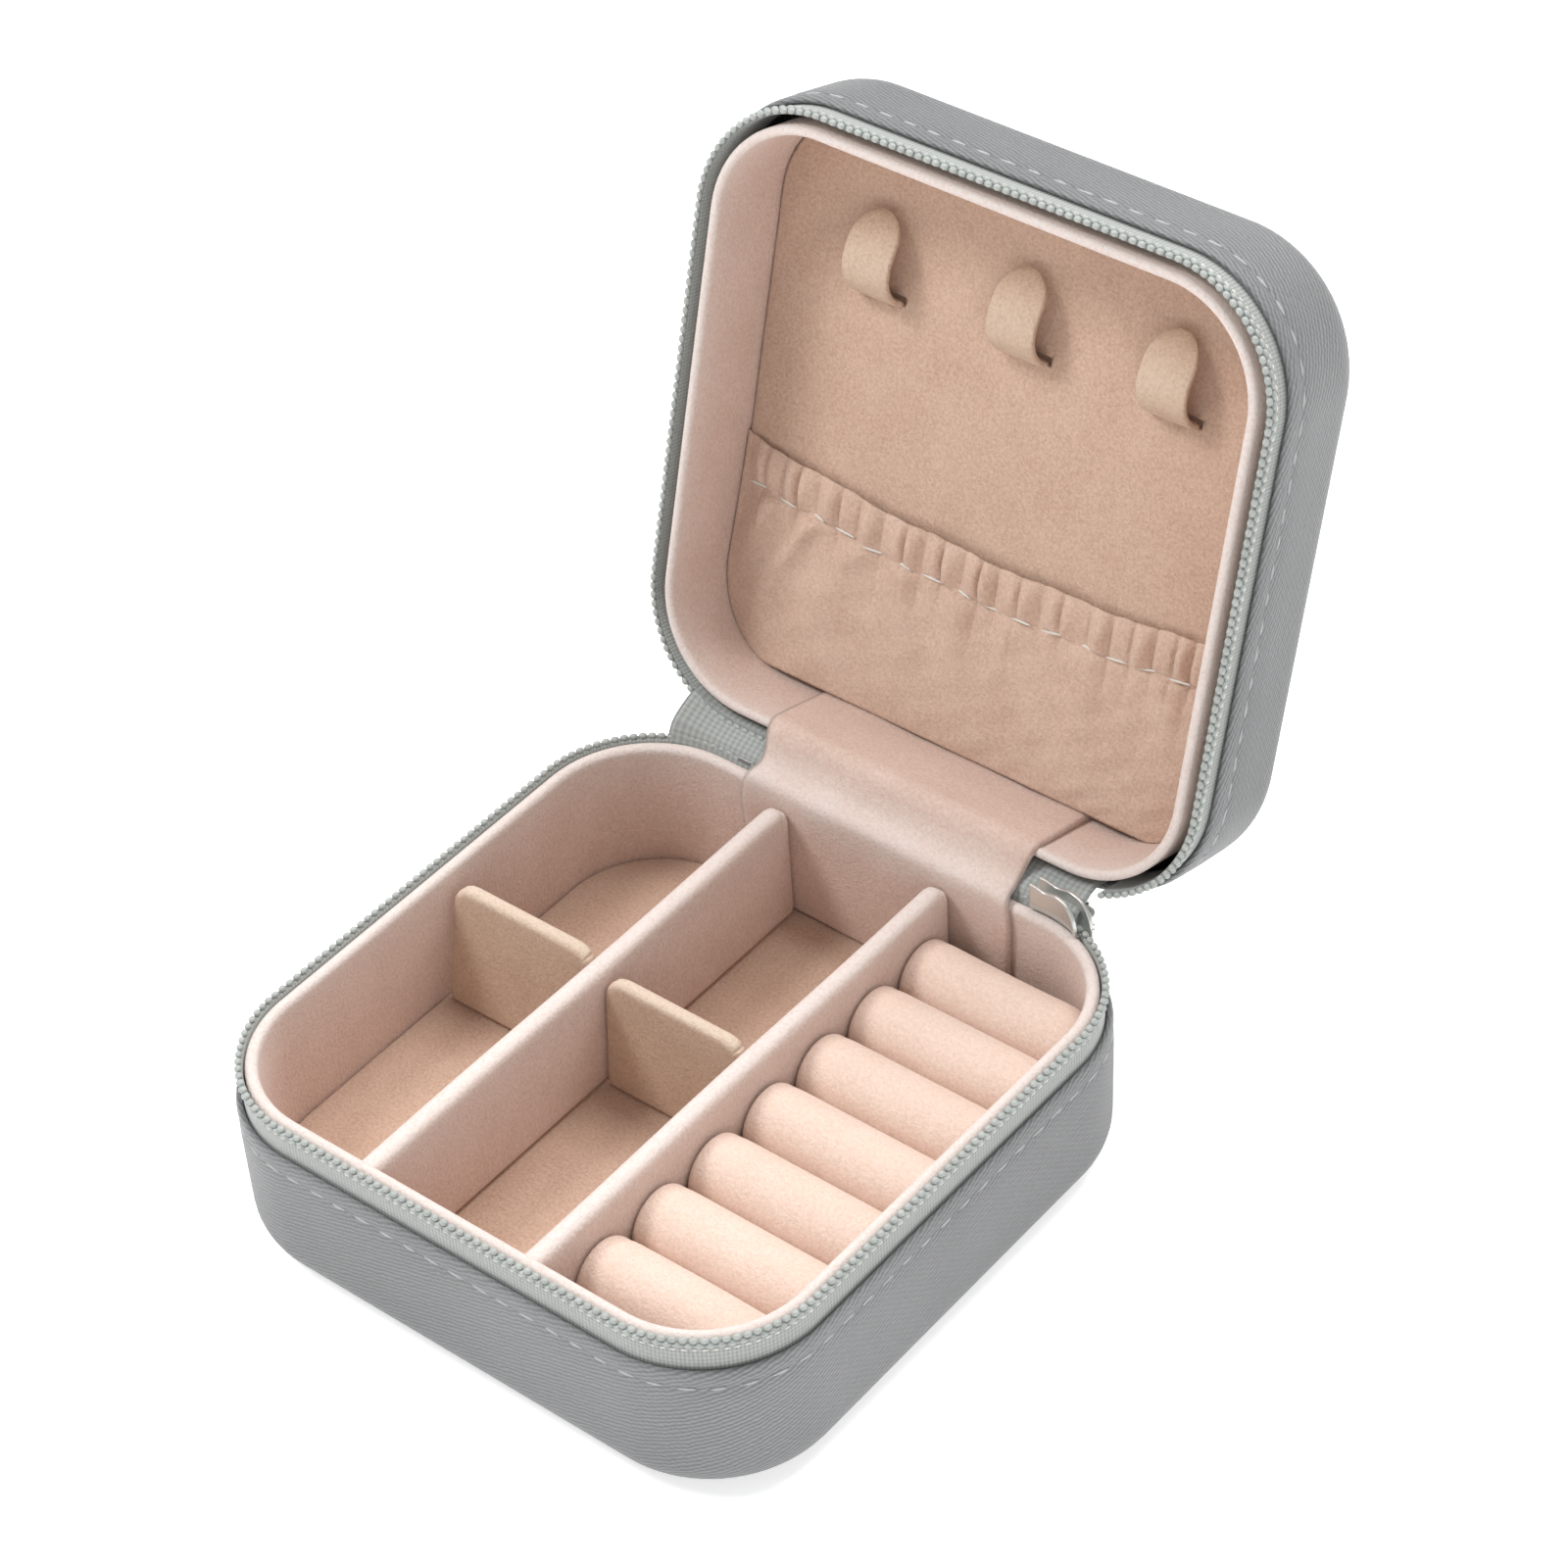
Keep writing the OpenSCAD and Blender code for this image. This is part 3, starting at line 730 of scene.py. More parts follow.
def long_divider(name, node):
    """A fixed divider with rounded top corners and a slight bow."""
    lo, hi = node_box(node)
    corner = LONG_CORNER_R
    lo[1] -= DIVIDER_TUCK

    def shape(x, y, z):
        a, b = round_corner((y - hi[1] + corner) / corner, (z - hi[2] + corner) / corner, corner)
        if a > 0 and b > 0:
            y = hi[1] - corner + a * corner
            z = hi[2] - corner + b * corner
        bow = LONG_BOW * sin(y * 0.09 + lo[0]) * (z - lo[2]) / (hi[2] - lo[2])
        return x + bow, y, z

    obj = rounded_box(name, lo, hi, 1.5, shape=shape, painted_sheen_at=painted_top_sheen(hi[2]))
    return add_piece(obj, PALE, "base", [node])


def cross_divider(name, node, body):
    """A loose divider that leans back a little and bows in its slots."""
    lo, hi = node_box(node)
    corner = CROSS_CORNER_R
    height = hi[2] - lo[2]
    lean = (hi[1] - CROSS_FOOT_Y - CROSS_T) / height
    mid, half = (lo[0] + hi[0]) / 2, (hi[0] - lo[0]) / 2

    def shape(x, y, z):
        a, b = round_corner((abs(x - mid) - half + corner) / corner, (z - hi[2] + corner) / corner, corner)
        if a > 0 and b > 0:
            x = mid + copysign(half - corner + a * corner, x - mid)
            z = hi[2] - corner + b * corner
        rise = (z - lo[2]) / height
        bow = CROSS_BOW * cos((x - mid) / half * pi / 2) * sin(rise * pi)
        return x, y + lean * (z - lo[2]) + bow, z

    low, high = (lo[0], CROSS_FOOT_Y, lo[2]), (hi[0], CROSS_FOOT_Y + CROSS_T, hi[2])
    obj = rounded_box(name, low, high, 1.05, shape=shape, painted_sheen_at=painted_top_sheen(hi[2], 1.0, 0.2))
    return add_piece(obj, CAMEL, body, [node])


long_divider("divider_left", "long_divider_left")
long_divider("divider_right", "long_divider_right")
cross_divider("cross_left", "cross_divider_left", "left_divider")
cross_divider("cross_middle", "cross_divider_middle", "middle_divider")

# ---- ring rolls

ROLL_AROUND = 44
ROLL_ALONG = 40
ROLL_END_R = 1.5
ROLL_SLACK = 0.45
ROLL_CAPS = [0.0, 0.12, 0.3, 0.55, 0.8, 1.0]
SEAM_AT, SEAM_HALF = 2.0, 0.45
SEAM_HOLD = 0.85
SIM_SCALE = 0.1
SIM_FRAMES = 14
SIM_CAP = 0.75
SIM_STIFFNESS = 8
SIM_PRESSURE = 18


def roll_shape(number):
    """Points of one roll's sewn cover before it is stuffed, and how firmly each is held."""
    lo, hi = node_box(f"ring_roll_{number}")
    rng = random.Random(SEED + number)
    r = (hi[2] - lo[2]) / 2
    mid_y, mid_z = (lo[1] + hi[1]) / 2, (lo[2] + hi[2]) / 2
    tilt = rng.uniform(-0.12, 0.12)
    rows = [("start", c) for c in ROLL_CAPS] + [("body", i / ROLL_ALONG) for i in range(1, ROLL_ALONG)]
    rows += [("end", c) for c in reversed(ROLL_CAPS)]
    points, held = [], []
    start = lo[0] + 0.1
    for kind, f in rows:
        for j in range(ROLL_AROUND):
            th = 2 * pi * j / ROLL_AROUND
            slack = ROLL_SLACK if kind == "body" else ROLL_SLACK * f
            size = r - slack
            if kind != "body":
                size -= ROLL_END_R * (1 - sqrt(max(0.0, 1 - (1 - f) ** 2)))
            y = mid_y + size * cos(th)
            stop = min(hi[0], inner_half_width(y, BASE_LINER_IN + LINER_T + 0.2))
            along = {"start": ROLL_END_R * f, "end": stop - start - ROLL_END_R * f}
            x = start + along.get(kind, ROLL_END_R + (stop - start - 2 * ROLL_END_R) * f)
            points.append((x, y + tilt * (x - lo[0]) / (hi[0] - lo[0]), mid_z + size * sin(th)))
            seam = abs(x - start - SEAM_AT) < SEAM_HALF
            held.append(1.0 if kind != "body" and f < 0.6 else SEAM_HOLD if seam else 0.0)
    return points, held, len(rows)


def stuff(points, faces, held):
    """Blows the sewn covers up as cloth under pressure and returns the settled points in mm."""
    mesh = bpy.data.meshes.new("stuffing")
    mesh.from_pydata([tuple(c * SIM_SCALE for c in p) for p in points], [], faces)
    obj = bpy.data.objects.new("stuffing", mesh)
    bpy.context.scene.collection.objects.link(obj)
    group = obj.vertex_groups.new(name="sewn")
    for i, weight in enumerate(held):
        if weight:
            group.add([i], weight, "REPLACE")
    cloth = obj.modifiers.new("stuffing", "CLOTH")
    cloth.settings.quality = 5
    cloth.settings.mass = 0.3
    cloth.settings.tension_stiffness = SIM_STIFFNESS
    cloth.settings.compression_stiffness = SIM_STIFFNESS
    cloth.settings.bending_stiffness = 0.2
    cloth.settings.use_pressure = True
    cloth.settings.uniform_pressure_force = SIM_PRESSURE
    cloth.settings.vertex_group_mass = "sewn"
    cloth.settings.effector_weights.gravity = 0
    cloth.collision_settings.use_collision = False
    cloth.point_cache.frame_start = 1
    cloth.point_cache.frame_end = SIM_FRAMES
    for number in range(1, SIM_FRAMES + 1):
        bpy.context.scene.frame_set(number)
    graph = bpy.context.evaluated_depsgraph_get()
    soft = bpy.data.meshes.new_from_object(obj.evaluated_get(graph))
    settled = []
    for p, v in zip(points, soft.vertices):
        move = v.co / SIM_SCALE - Vector(p)
        if move.length > SIM_CAP:
            move *= SIM_CAP / move.length
        settled.append(Vector(p) + move)
    bpy.context.scene.frame_set(1)
    bpy.data.objects.remove(obj)
    bpy.data.meshes.remove(soft)
    return settled


def ring_rolls(numbers):
    """Stuffed velvet rolls, each kept inside its own share of the row."""
    points, held, faces, spans = [], [], [], []
    for number in numbers:
        shape, weights, rings = roll_shape(number)
        faces += tube_faces(rings, ROLL_AROUND, len(points))
        spans.append((number, len(points), len(shape), rings))
        points += shape
        held += weights
    settled = stuff(points, faces, held)
    for number, first, count, rings in spans:
        node = f"ring_roll_{number}"
        lo, hi = node_box(node)
        verts = []
        for p in settled[first : first + count]:
            y = min(max(p.y, lo[1] + 0.02), hi[1] - 0.02)
            verts.append((max(lo[0] + 0.05, p.x), y, p.z))
        obj = make_mesh(f"roll_{number}", verts, tube_faces(rings, ROLL_AROUND))
        smooth = obj.modifiers.new("smooth", "SUBSURF")
        smooth.levels = 1
        smooth.render_levels = 1
        add_piece(obj, PEACH, "base", [node])


ring_rolls(range(1, 8))

# ---- hooks on the lid panel

HOOK_RISE = 4.5
HOOK_TIP = 0.75
HOOK_LENGTH = 13.3
HOOK_SLOT_Y = -19.6
HOOK_T = 1.1
HOOK_ROWS, HOOK_AROUND, HOOK_TIP_STEPS = 46, 20, 10
HOOK_NUDGE = 0.05


def hook_centre(u):
    """The strap's middle line, u mm along it from the slot."""
    f = max(0.0, min(1.0, u / HOOK_LENGTH))
    rise = HOOK_RISE * sin(pi * f**0.74) ** 0.85 if 0 < f < 1 else 0.0
    return HOOK_SLOT_Y - u, LID_PANEL - rise - HOOK_TIP * f * f - 0.1


def hook(number):
    """A flat velvet strap that leaves a slot, bulges and comes back to the panel."""
    node = f"necklace_hook_{number}"
    lo, hi = node_box(node, TO_CLOSED)
    mid, half = (lo[0] + hi[0]) / 2, (hi[0] - lo[0]) / 2
    verts, piles = [], []
    stops = [-0.9] + [HOOK_LENGTH * i / HOOK_ROWS for i in range(HOOK_ROWS)]
    stops += [HOOK_LENGTH - half * (1 - sin(pi / 2 * i / (HOOK_TIP_STEPS - 1))) for i in range(1, HOOK_TIP_STEPS)]
    stops = sorted(set(round(q, 4) for q in stops))
    for u in stops:
        y, z = hook_centre(u)
        if u < 0:
            z = LID_PANEL + 1.0
        y2, z2 = hook_centre(max(0, u) + HOOK_NUDGE)
        y1, z1 = hook_centre(max(0, u - HOOK_NUDGE))
        ty, tz = y2 - y1, z2 - z1
        norm = hypot(ty, tz) or 1.0
        ny, nz = -tz / norm, ty / norm
        if nz > 0:
            ny, nz = -ny, -nz
        past = max(0.0, u - (HOOK_LENGTH - half))
        width = sqrt(max(0.0001, half * half - past * past)) if past < half else 0.02
        # painted highlight along the middle of the outer face, strongest where the strap bulges out
        painted_highlight = 0.45 * sin(pi * max(0, min(1, u / HOOK_LENGTH))) ** 2
        for j in range(HOOK_AROUND):
            a = 2 * pi * j / HOOK_AROUND
            sx = copysign(abs(cos(a)) ** 0.45, cos(a))
            sn = copysign(abs(sin(a)) ** 0.55, sin(a))
            groove = 0.12 if abs(sn) < 0.2 else 0.0
            off = sn * HOOK_T / 2
            verts.append((mid + (width - groove) * sx, y + ny * off, z + nz * off))
            piles.append(painted_highlight if sn > 0 else 0.0)
    obj = make_mesh(f"hook_{number}", verts, tube_faces(len(stops), HOOK_AROUND), pile=piles, place=TO_OPEN)
    add_piece(obj, CAMEL, "lid", [node])
    low = (mid - half - 0.35, HOOK_SLOT_Y - 1.2, LID_PANEL - 1)
    high = (mid + half + 0.5, HOOK_SLOT_Y + 0.3, LID_PANEL + 1.1)
    carve(lid_face, rounded_box(f"slot_{number}", low, high, 0.3, place=TO_OPEN))


for hook_number in (1, 2, 3):
    hook(hook_number)

# ---- sheets along a path

SPLINE_STEPS = 24


def smooth_path(points, step=0.35):
    """A Catmull-Rom curve through (y, z) points, evenly spaced."""
    p = [np.array(q, float) for q in points]
    p = [2 * p[0] - p[1], *p, 2 * p[-1] - p[-2]]
    fine = []
    for a, b, c, d in zip(p, p[1:], p[2:], p[3:]):
        for t in np.linspace(0, 1, SPLINE_STEPS, endpoint=False):
            curve = 2 * b + (c - a) * t + (2 * a - 5 * b + 4 * c - d) * t**2
            fine.append(0.5 * (curve + (3 * b - a - 3 * c + d) * t**3))
    fine.append(p[-2])
    fine = np.array(fine)
    run = np.concatenate([[0], np.cumsum(np.linalg.norm(np.diff(fine, axis=0), axis=1))])
    at = np.linspace(0, run[-1], int(run[-1] / step) + 1)
    return np.stack([np.interp(at, run, fine[:, k]) for k in (0, 1)], axis=1), at


def strap(name, points, left, right, thick, ripple=None, painted_sheen=None, side=1, across=44):
    """A thin sheet that follows a path in y and z; left and right give its edges in x.

    side says which face (+1 or -1) of the path looks out; ripple lifts it along its normal."""
    path, run = smooth_path(points)
    total = run[-1]
    tangents = np.gradient(path, axis=0)
    tangents /= np.linalg.norm(tangents, axis=1)[:, None]
    verts, uvs, piles = [], [], []
    loop = across * 2
    for (y, z), (ty, tz), s in zip(path, tangents, run):
        ny, nz = side * tz, -side * ty
        x0, x1 = left(s / total), right(s / total)
        for j in range(loop):
            f = j / across if j < across else (loop - j) / across
            edge = min(f, 1 - f) * (x1 - x0)
            half = thick / 2 * sqrt(1 - max(0.0, 1 - edge / (thick * 0.8)) ** 2)
            off = half if j < across else -half
            if j in (0, across):
                off = 0.0
            x = x0 + (x1 - x0) * f
            lift = ripple(x, s / total) if ripple else 0.0
            verts.append((x, y + ny * (off + lift), z + nz * (off + lift)))
            piles.append(painted_sheen(y, z, x) if painted_sheen else 0.0)
    rows = len(path)
    for i in range(rows - 1):
        for j in range(loop):
            corners = ((i, j), (i, j + 1), (i + 1, j + 1), (i + 1, j))
            uvs.append([(b * 0.5 * MM, run[a] * MM) for a, b in corners])
    uvs += [[(0.0, 0.0)] * loop] * 2
    return make_mesh(name, verts, tube_faces(rows, loop), uvs, piles)


def opened(y, z):
    """Where a point of the closed lid is when the lid is open."""
    p = TO_OPEN @ Vector((0, y, z))
    return p.y, p.z


FLAP_T = 0.7
FLAP_Y = FLAP_LO[1] + FLAP_T / 2
LID_FLAP_Y = node_box("hinge_flap_lid", TO_CLOSED)[0][1] + FLAP_T / 2
flap_path = [opened(LID_FLAP_Y, z) for z in (LID_PANEL - 0.2, 43.0, 39.0, 35.0)]
flap_path += [opened(LID_FLAP_Y + 0.1, 32.6), opened(LID_FLAP_Y + 1.4, 31.2)]
flap_path += [(50.3, 33.7), (49.1, 32.3), (47.9, 31.75), (46.7, 31.55), (45.9, 31.0), (45.55, 29.9)]
flap_path += [(FLAP_Y, z) for z in (27.0, 22.0, 15.0, FLOOR + 0.2)]
CREST = Vector((0, 46.9, 31.4))


def flap_edge(base_x, pinch):
    """The flap's side pulls in a little where it bends over the hinge."""

    def edge(s):
        narrow = exp(-(((s - 0.44) / 0.10) ** 2))
        wide = exp(-(((s - 0.62) / 0.09) ** 2))
        return base_x + pinch * narrow - 0.35 * pinch * wide

    return edge


def flap_ripple(x, s):
    fold = exp(-(((s - 0.40) / 0.12) ** 2))
    return 0.22 * sin(x * 0.19 + 1.1) * fold + 0.10 * sin(x * 0.33 + s * 9)


# painted highlight band where the flap bends over the hinge crest
def flap_painted_highlight(y, z, x):
    near = hypot(y - CREST.y, z - CREST.z)
    return 0.8 * max(0.0, 1 - near / 6.5) * (0.9 + 0.1 * sin(x * 0.5))


left_edge, right_edge = flap_edge(FLAP_LO[0], 1.3), flap_edge(FLAP_HI[0], -0.9)
flap = strap("hinge_flap", flap_path, left_edge, right_edge, FLAP_T, flap_ripple, flap_painted_highlight)
add_piece(flap, PALE, replaces=["hinge_flap_base", "hinge_flap_lid"])
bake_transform(flap)

spine_lo, spine_hi = node_box("spine_base")
spine_t = spine_hi[1] - spine_lo[1]
spine_y = (spine_lo[1] + spine_hi[1]) / 2
lid_spine_hi = node_box("spine_lid", TO_CLOSED)[1]
spine_path = [(spine_y, z) for z in (spine_lo[2], 22.0, 26.0, 29.6)]
spine_path += [(spine_y + 0.25, 30.9)]
spine_path += [opened(spine_y, z) for z in (33.0, 36.0, 39.5, lid_spine_hi[2])]
spine = strap("spine", spine_path, lambda s: spine_lo[0], lambda s: spine_hi[0], spine_t, side=-1)
add_piece(spine, LEATHER, replaces=["spine_base", "spine_lid"])
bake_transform(spine)


def spine_stitches(name, z, place, body, seed):
    """One row of thread along an end of the spine."""
    rng = random.Random(seed)
    beads = []
    for x in np.arange(spine_lo[0] + 3.0, spine_hi[0] - 2.0, STITCH_PITCH):
        centre = (x + rng.uniform(-0.1, 0.1), spine_hi[1] + 0.02, z + rng.uniform(-0.06, 0.06))
        beads.append((centre, (1, 0, 0), (0, 1, 0), (STITCH_HALF, *STITCH_THICK)))
    return add_piece(scatter(name, beads, place, rings=8), THREAD, body)


spine_stitches("spine_stitches_base", spine_lo[2] + 2.2, AS_IS, "base", SEED + 2)
spine_stitches("spine_stitches_lid", lid_spine_hi[2] - 2.2, TO_OPEN, "lid", SEED + 3)

# woven gusset behind the flap, between the two zip tapes
GUSSET_LEFT, GUSSET_RIGHT = -39.0, 35.0


def corner_drop(x, s):
    """How far the outline falls away from its straight back at x."""
    past = max(0.0, abs(x) - CORNER_X)
    r = CORNER_R - TAPE_IN - TAPE_T
    return r - sqrt(r * r - past * past)


gusset_y = HALF_Y - TAPE_IN - TAPE_T
gusset_path = [(gusset_y, z) for z in (24.0, 26.5, 29.2)]
gusset_path += [(gusset_y + 0.5, 30.6), (gusset_y + 1.3, 31.6)]
gusset_path += [opened(gusset_y, z) for z in (33.2, 36.0, 39.0)]
gusset = strap(
    "hinge_gusset",
    gusset_path,
    lambda s: GUSSET_LEFT,
    lambda s: GUSSET_RIGHT,
    TAPE_T,
    corner_drop,
    side=-1,
    across=90,
)
add_piece(gusset, TAPE)
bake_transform(gusset)

# ---- gathered pocket

POCKET_FOOT = node_box("pocket", TO_CLOSED)[1][1]
POCKET_HEM = 6.5
GATHER_PITCH = 3.7
STITCH_STEP = 5.3
POCKET_STAND = 2.3
POCKET_HALF = 45.0
STITCHED_HALF = 44.0
POCKET_COLUMNS, POCKET_ROWS = 420, 84
POCKET_T = 0.55
# place across, width, slant and height of each soft fold
BROAD_FOLDS = (
    (-0.84, 0.050, -1.0, 1.5),
    (-0.66, 0.036, -1.3, 1.3),
    (-0.48, 0.040, -0.9, 1.0),
    (-0.30, 0.034, 0.5, 1.1),
    (-0.08, 0.040, 0.4, 1.2),
    (0.15, 0.032, -0.3, 0.8),
    (0.42, 0.045, 0.4, 0.9),
    (0.72, 0.040, 0.6, 0.8),
)


def pocket_mouth(x):
    """Where the pocket's open edge hangs, sagging in the middle."""
    f = x / POCKET_HALF
    return 13.0 - 2.9 * f * f + 0.5 * f + 0.2 * sin(x * 0.31 + 0.6)


def gather_phase(x):
    return x / GATHER_PITCH + 0.20 * sin(x * 0.17 + 0.4) + 0.08 * sin(x * 0.53)


def broad_folds(f, drop):
    """Soft folds that fan out below the stitch line."""
    total = 0.0
    for place, width, slant, height in BROAD_FOLDS:
        middle = place + slant * 0.010 * drop
        spread = width * (1 + drop * 0.05)
        total += height * exp(-(((f - middle) / spread) ** 2)) * exp(-drop / 13.0)
    return total


def pocket_point(f, v):
    """f runs across from -1 to 1 and v down from the mouth, in mm; gives x, y, z when closed."""
    guess = f * POCKET_HALF
    mouth = pocket_mouth(guess)
    y = mouth + v
    half = inner_half_width(min(y, POCKET_FOOT), LID_LINER_IN + LINER_T) - 0.25
    x = f * half
    down = v / (POCKET_FOOT - mouth)
    phase = gather_phase(guess)
    puff = abs(sin(pi * phase)) ** 0.55
    uneven = 0.8 + 0.3 * sin(guess * 0.9 + 1.0)
    edge = min(1.0, (1 - abs(f)) * 9.0)
    lift = 0.35 + 0.5 * (1 - f * f) * max(0.0, 1 - down) ** 1.3 + POCKET_STAND * down**1.5
    stitch = v - POCKET_HEM
    if stitch < 0:
        across = (stitch + POCKET_HEM) / POCKET_HEM
        tube = sin(pi * min(1.0, across * 0.88 + 0.06)) ** 0.7
        lift += edge * tube * (0.1 + 1.9 * puff * uneven)
        y -= 0.4 * puff * (1 - across)
    else:
        dip = 1 - exp(-stitch / 0.8)
        fade = exp(-stitch / 3.4)
        lift += edge * dip * (1.3 * (puff - 0.4) * uneven * fade + 1.7 * broad_folds(f, stitch))
        lift += 0.12 * sin(guess * 0.8 + v * 0.7) * sin(v * 0.45 - guess * 0.2) * edge * dip
    settle = max(0.0, min(1.0, (POCKET_FOOT - y) / 2.5))
    lift = POCKET_STAND * down + (lift - POCKET_STAND * down) * settle**0.5
    lift = max(0.3, lift)
    return x, y, LID_PANEL - lift


def pocket_mesh():
    across = POCKET_COLUMNS + 1
    verts, faces = [], []
    for i in range(POCKET_ROWS + 1):
        for j in range(across):
            f = -1 + 2 * j / POCKET_COLUMNS
            v = (POCKET_FOOT - 0.2 - pocket_mouth(f * POCKET_HALF)) * (i / POCKET_ROWS) ** 1.15
            verts.append(pocket_point(f, v))
    # the hem turns back behind itself at the mouth
    verts += [(x, y + 0.5, z + 0.7) for x, y, z in verts[:across]]
    start = (POCKET_ROWS + 1) * across
    for i in range(POCKET_ROWS):
        for a in range(i * across, i * across + POCKET_COLUMNS):
            faces.append((a, a + 1, a + across + 1, a + across))
    faces += [(start + j, start + j + 1, j + 1, j) for j in range(POCKET_COLUMNS)]
    return make_mesh("gathered_pocket", verts, faces, place=TO_OPEN)


pocket = pocket_mesh()
thicken = pocket.modifiers.new("cloth", "SOLIDIFY")
thicken.thickness = POCKET_T * MM
thicken.offset = -1
add_piece(pocket, POCKET_TAN, "lid", ["pocket", "pocket_elastic"])


def pocket_stitches():
    """White dashes, evenly spaced along the elastic channel."""
    beads = []
    count = int(2 * STITCHED_HALF / STITCH_STEP)
    for i in range(count):
        f = -0.97 + 1.94 * (i + 0.5) / count
        p = [Vector(pocket_point(f + d, POCKET_HEM - 0.12)) for d in (-0.01, 0.0, 0.01)]
        beads.append((p[1] + Vector((0, 0, -0.10)), p[2] - p[0], (0, 0, -1), (1.9, 0.16, 0.19)))
    obj = scatter("pocket_stitches", beads, TO_OPEN, rings=8)
    return add_piece(obj, THREAD_WHITE, "lid")


pocket_stitches()

# ---- zip slider

SLIDER_AT = Vector(joint("pull_swing")["pos_m"]) / MM
SLIDER_TURN = atan2(SLIDER_AT.y - CORNER_Y, SLIDER_AT.x - CORNER_X)
BAIL_R = hypot(SLIDER_AT.y - CORNER_Y, SLIDER_AT.x - CORNER_X)
SLIDER_LO, SLIDER_HI = node_box("zip_slider")
SLIDER_LEN = 10.2
PLATE_T = 0.6
BAIL_REACH = 3.0
BAIL_WIRE = 0.45
BAIL_CORNER = 0.9
BAIL_STEPS = 10
BAIL_AROUND = 14


def round_the_corner(s, radius, z):
    """s mm along the zip from the slider's middle, clockwise seen from above."""
    a = SLIDER_TURN - s / CORNER_R
    return CORNER_X + radius * cos(a), CORNER_Y + radius * sin(a), z


def slider_plate(name, radius, low, high, chamfer, replaces=()):
    """A pressed plate with a waved top edge that rounds off towards one end."""
    half = SLIDER_LEN / 2

    def shape(s, r, z):
        f = (s + half) / SLIDER_LEN
        top = 1.0 - 0.10 * sin(pi * min(1.0, f / 0.55)) ** 2
        past = max(0.0, (f - 0.5) / 0.5)
        top *= sqrt(max(0.08, 1 - past**2.6))
        rise = (z - low) / (high - low)
        r += chamfer * max(0.0, 0.30 - rise) / 0.30
        return round_the_corner(s, r, low + (z - low) * top)

    plate = rounded_box(
        name, (-half, radius, low), (half, radius + PLATE_T, high), 0.2, pitch=0.35, shape=shape
    )
    return add_piece(plate, NICKEL, "slider", replaces)


slider_plate("slider_inner_plate", 17.3, SLIDER_HI[2] - 4.5, SLIDER_HI[2] + 0.7, 0.55, ["zip_slider"])
slider_plate("slider_outer_plate", 20.25, SLIDER_LO[2], SLIDER_HI[2] - 0.4, 0.0)
neck_lo, neck_hi = (-1.7, 17.6, HINGE.z - 0.28), (1.7, 20.5, HINGE.z + 0.28)
neck = rounded_box("slider_neck", neck_lo, neck_hi, 0.12, pitch=0.5, shape=round_the_corner)
add_piece(neck, NICKEL, "slider")


def slider_bail():
    """The bent wire that the pull hangs from."""
    path = [(-BAIL_REACH, 20.5)]
    for a in np.linspace(0, pi / 2, BAIL_STEPS):
        s, r = BAIL_CORNER * (1 - cos(a)), BAIL_CORNER * (1 - sin(a))
        path.append((s - BAIL_REACH, BAIL_R - r))
    path += [(-s, r) for s, r in reversed(path)]
    verts = []
    for i, (s, r) in enumerate(path):
        a, b = path[max(0, i - 1)], path[min(len(path) - 1, i + 1)]
        ds, dr = b[0] - a[0], b[1] - a[1]
        norm = hypot(ds, dr)
        for j in range(BAIL_AROUND):
            th = 2 * pi * j / BAIL_AROUND
            side = BAIL_WIRE * cos(th)
            z = SLIDER_AT.z + BAIL_WIRE * sin(th)
            verts.append(round_the_corner(s - dr / norm * side, r + ds / norm * side, z))
    obj = make_mesh("slider_bail", verts, tube_faces(len(path), BAIL_AROUND))
    return add_piece(obj, NICKEL, "slider")


slider_bail()

# ---- CAD nodes that stay


def finish_node(node, material, bevel=0.0):
    """Gives a CAD node its material, and soft edges where it is metal."""
    obj = frame["nodes"][node]
    obj.data.materials.clear()
    obj.data.materials.append(material)
    if bevel:
        soft = obj.modifiers.new("edge", "BEVEL")
        soft.width = bevel * MM
        soft.segments = 3
        soft.limit_method = "ANGLE"
        soft.angle_limit = radians(40)
        soft.harden_normals = True


finish_node("zip_pull", NICKEL, 0.2)
# the end stop gets the darkened nickel, a painted shade in place of its highlight
finish_node("zip_end_stop", SHADE_DARKENED_METAL, 0.12)
hidden = {"base_board": BOARD, "lid_board": BOARD, "base_padding": FOAM, "lid_padding": FOAM}
for node, material in hidden.items():
    finish_node(node, material)
finish_node("ring_roll_bed", PEACH)

# ---- floor, light and camera

GROUND_HALF = 4.0
PAPER_GLOW = 0.5
SKY = 0.44


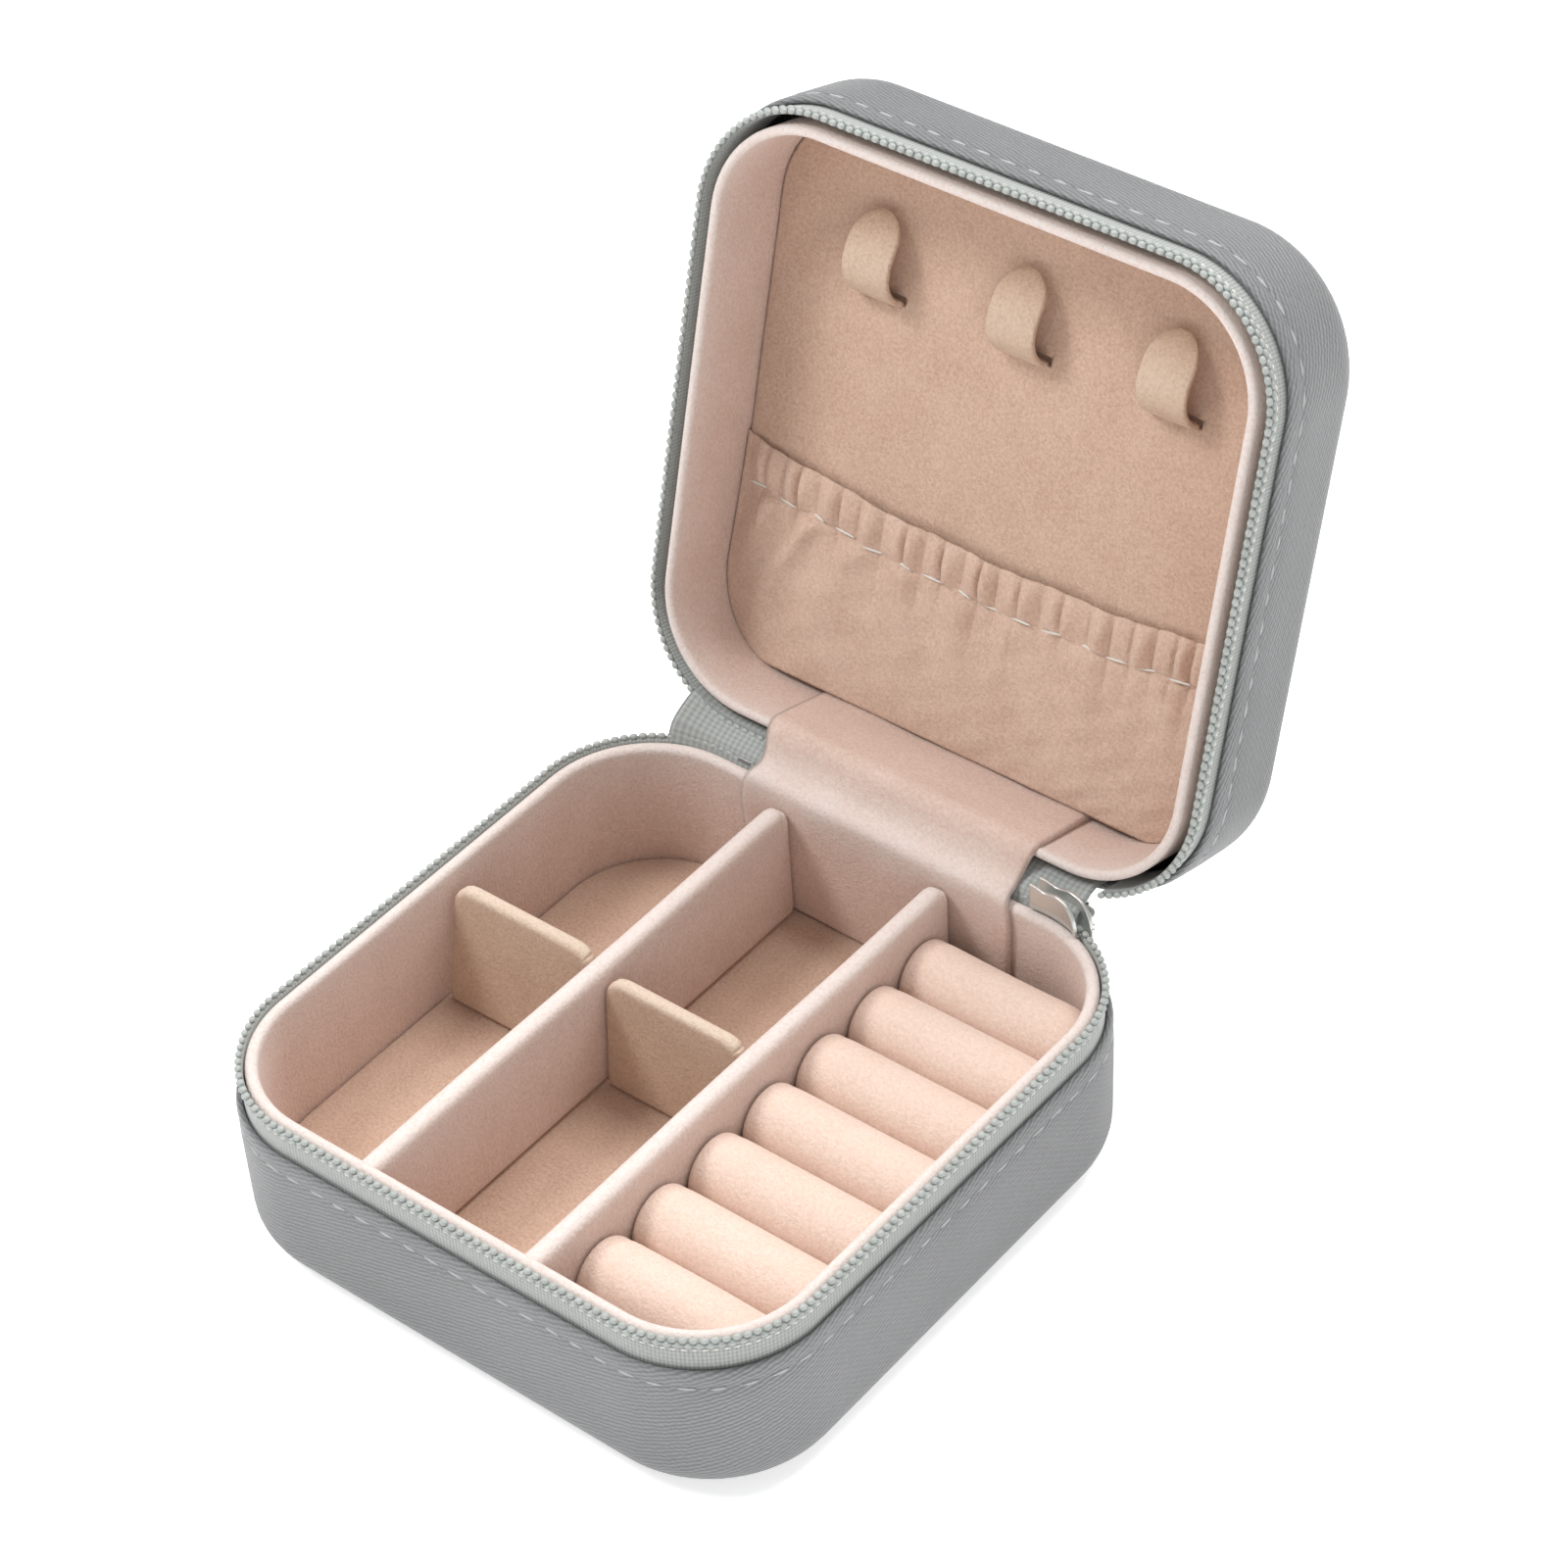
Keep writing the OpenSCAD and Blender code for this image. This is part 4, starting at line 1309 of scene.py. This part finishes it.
def ground():
    mesh = bpy.data.meshes.new("ground")
    bm = bmesh.new()
    bmesh.ops.create_grid(bm, x_segments=8, y_segments=8, size=GROUND_HALF)
    bm.to_mesh(mesh)
    bm.free()
    obj = bpy.data.objects.new("ground", mesh)
    obj.location = (0, 0, -0.0001)
    bpy.context.scene.collection.objects.link(obj)
    s = Shader("ground_paper", 0.95, specular=0.1)
    fleck = s.noise(30.0, 2, 0.5)
    s.bsdf.inputs["Emission Color"].default_value = (1, 1, 1, 1)
    s.bsdf.inputs["Emission Strength"].default_value = PAPER_GLOW
    paper = s.mix(fleck, (0.93, 0.93, 0.93, 1), (0.96, 0.96, 0.96, 1))
    obj.data.materials.append(s.done(paper, None))


def softbox(name, location, target, size, power):
    data = bpy.data.lights.new(name, "AREA")
    data.shape = "SQUARE"
    data.size = size
    data.energy = power
    obj = bpy.data.objects.new(name, data)
    obj.location = location
    obj.rotation_euler = (Vector(target) - Vector(location)).to_track_quat("-Z", "Y").to_euler()
    bpy.context.scene.collection.objects.link(obj)


ground()
world = bpy.data.worlds.new("studio")
bpy.context.scene.world = world
world.use_nodes = True
sky = world.node_tree.nodes["Background"]
sky.inputs["Color"].default_value = (1.0, 1.0, 1.0, 1)
sky.inputs["Strength"].default_value = SKY
middle = (0.0, 0.01, 0.04)
softbox("key", (-0.53, -0.38, 1.00), middle, 0.34, 7.0)
softbox("fill", (0.75, -0.5, 0.55), middle, 0.7, 1.5)
softbox("top", (0.05, 0.55, 1.05), middle, 0.7, 10.8)

bpy.context.scene.view_settings.view_transform = "Standard"
bpy.context.scene.view_settings.look = "None"

CAMERA_AT = Vector((0.3142, -0.3344, 0.4739))
CAMERA_RIGHT = Vector((0.7814, 0.6221, -0.0496))
CAMERA_LOOK = Vector((-0.4936, 0.5678, -0.6588))
CAMERA_LENS = 104.1
camera_data = bpy.data.cameras.new("camera")
camera_data.lens = CAMERA_LENS
camera_data.sensor_width = 36.0
camera = bpy.data.objects.new("camera", camera_data)
look = CAMERA_LOOK.normalized()
right = (CAMERA_RIGHT - look * CAMERA_RIGHT.dot(look)).normalized()
up = right.cross(look)
turn = Matrix((right, up, -look)).transposed().to_4x4()
camera.matrix_world = Matrix.Translation(CAMERA_AT) @ turn
bpy.context.scene.collection.objects.link(camera)
bpy.context.scene.camera = camera

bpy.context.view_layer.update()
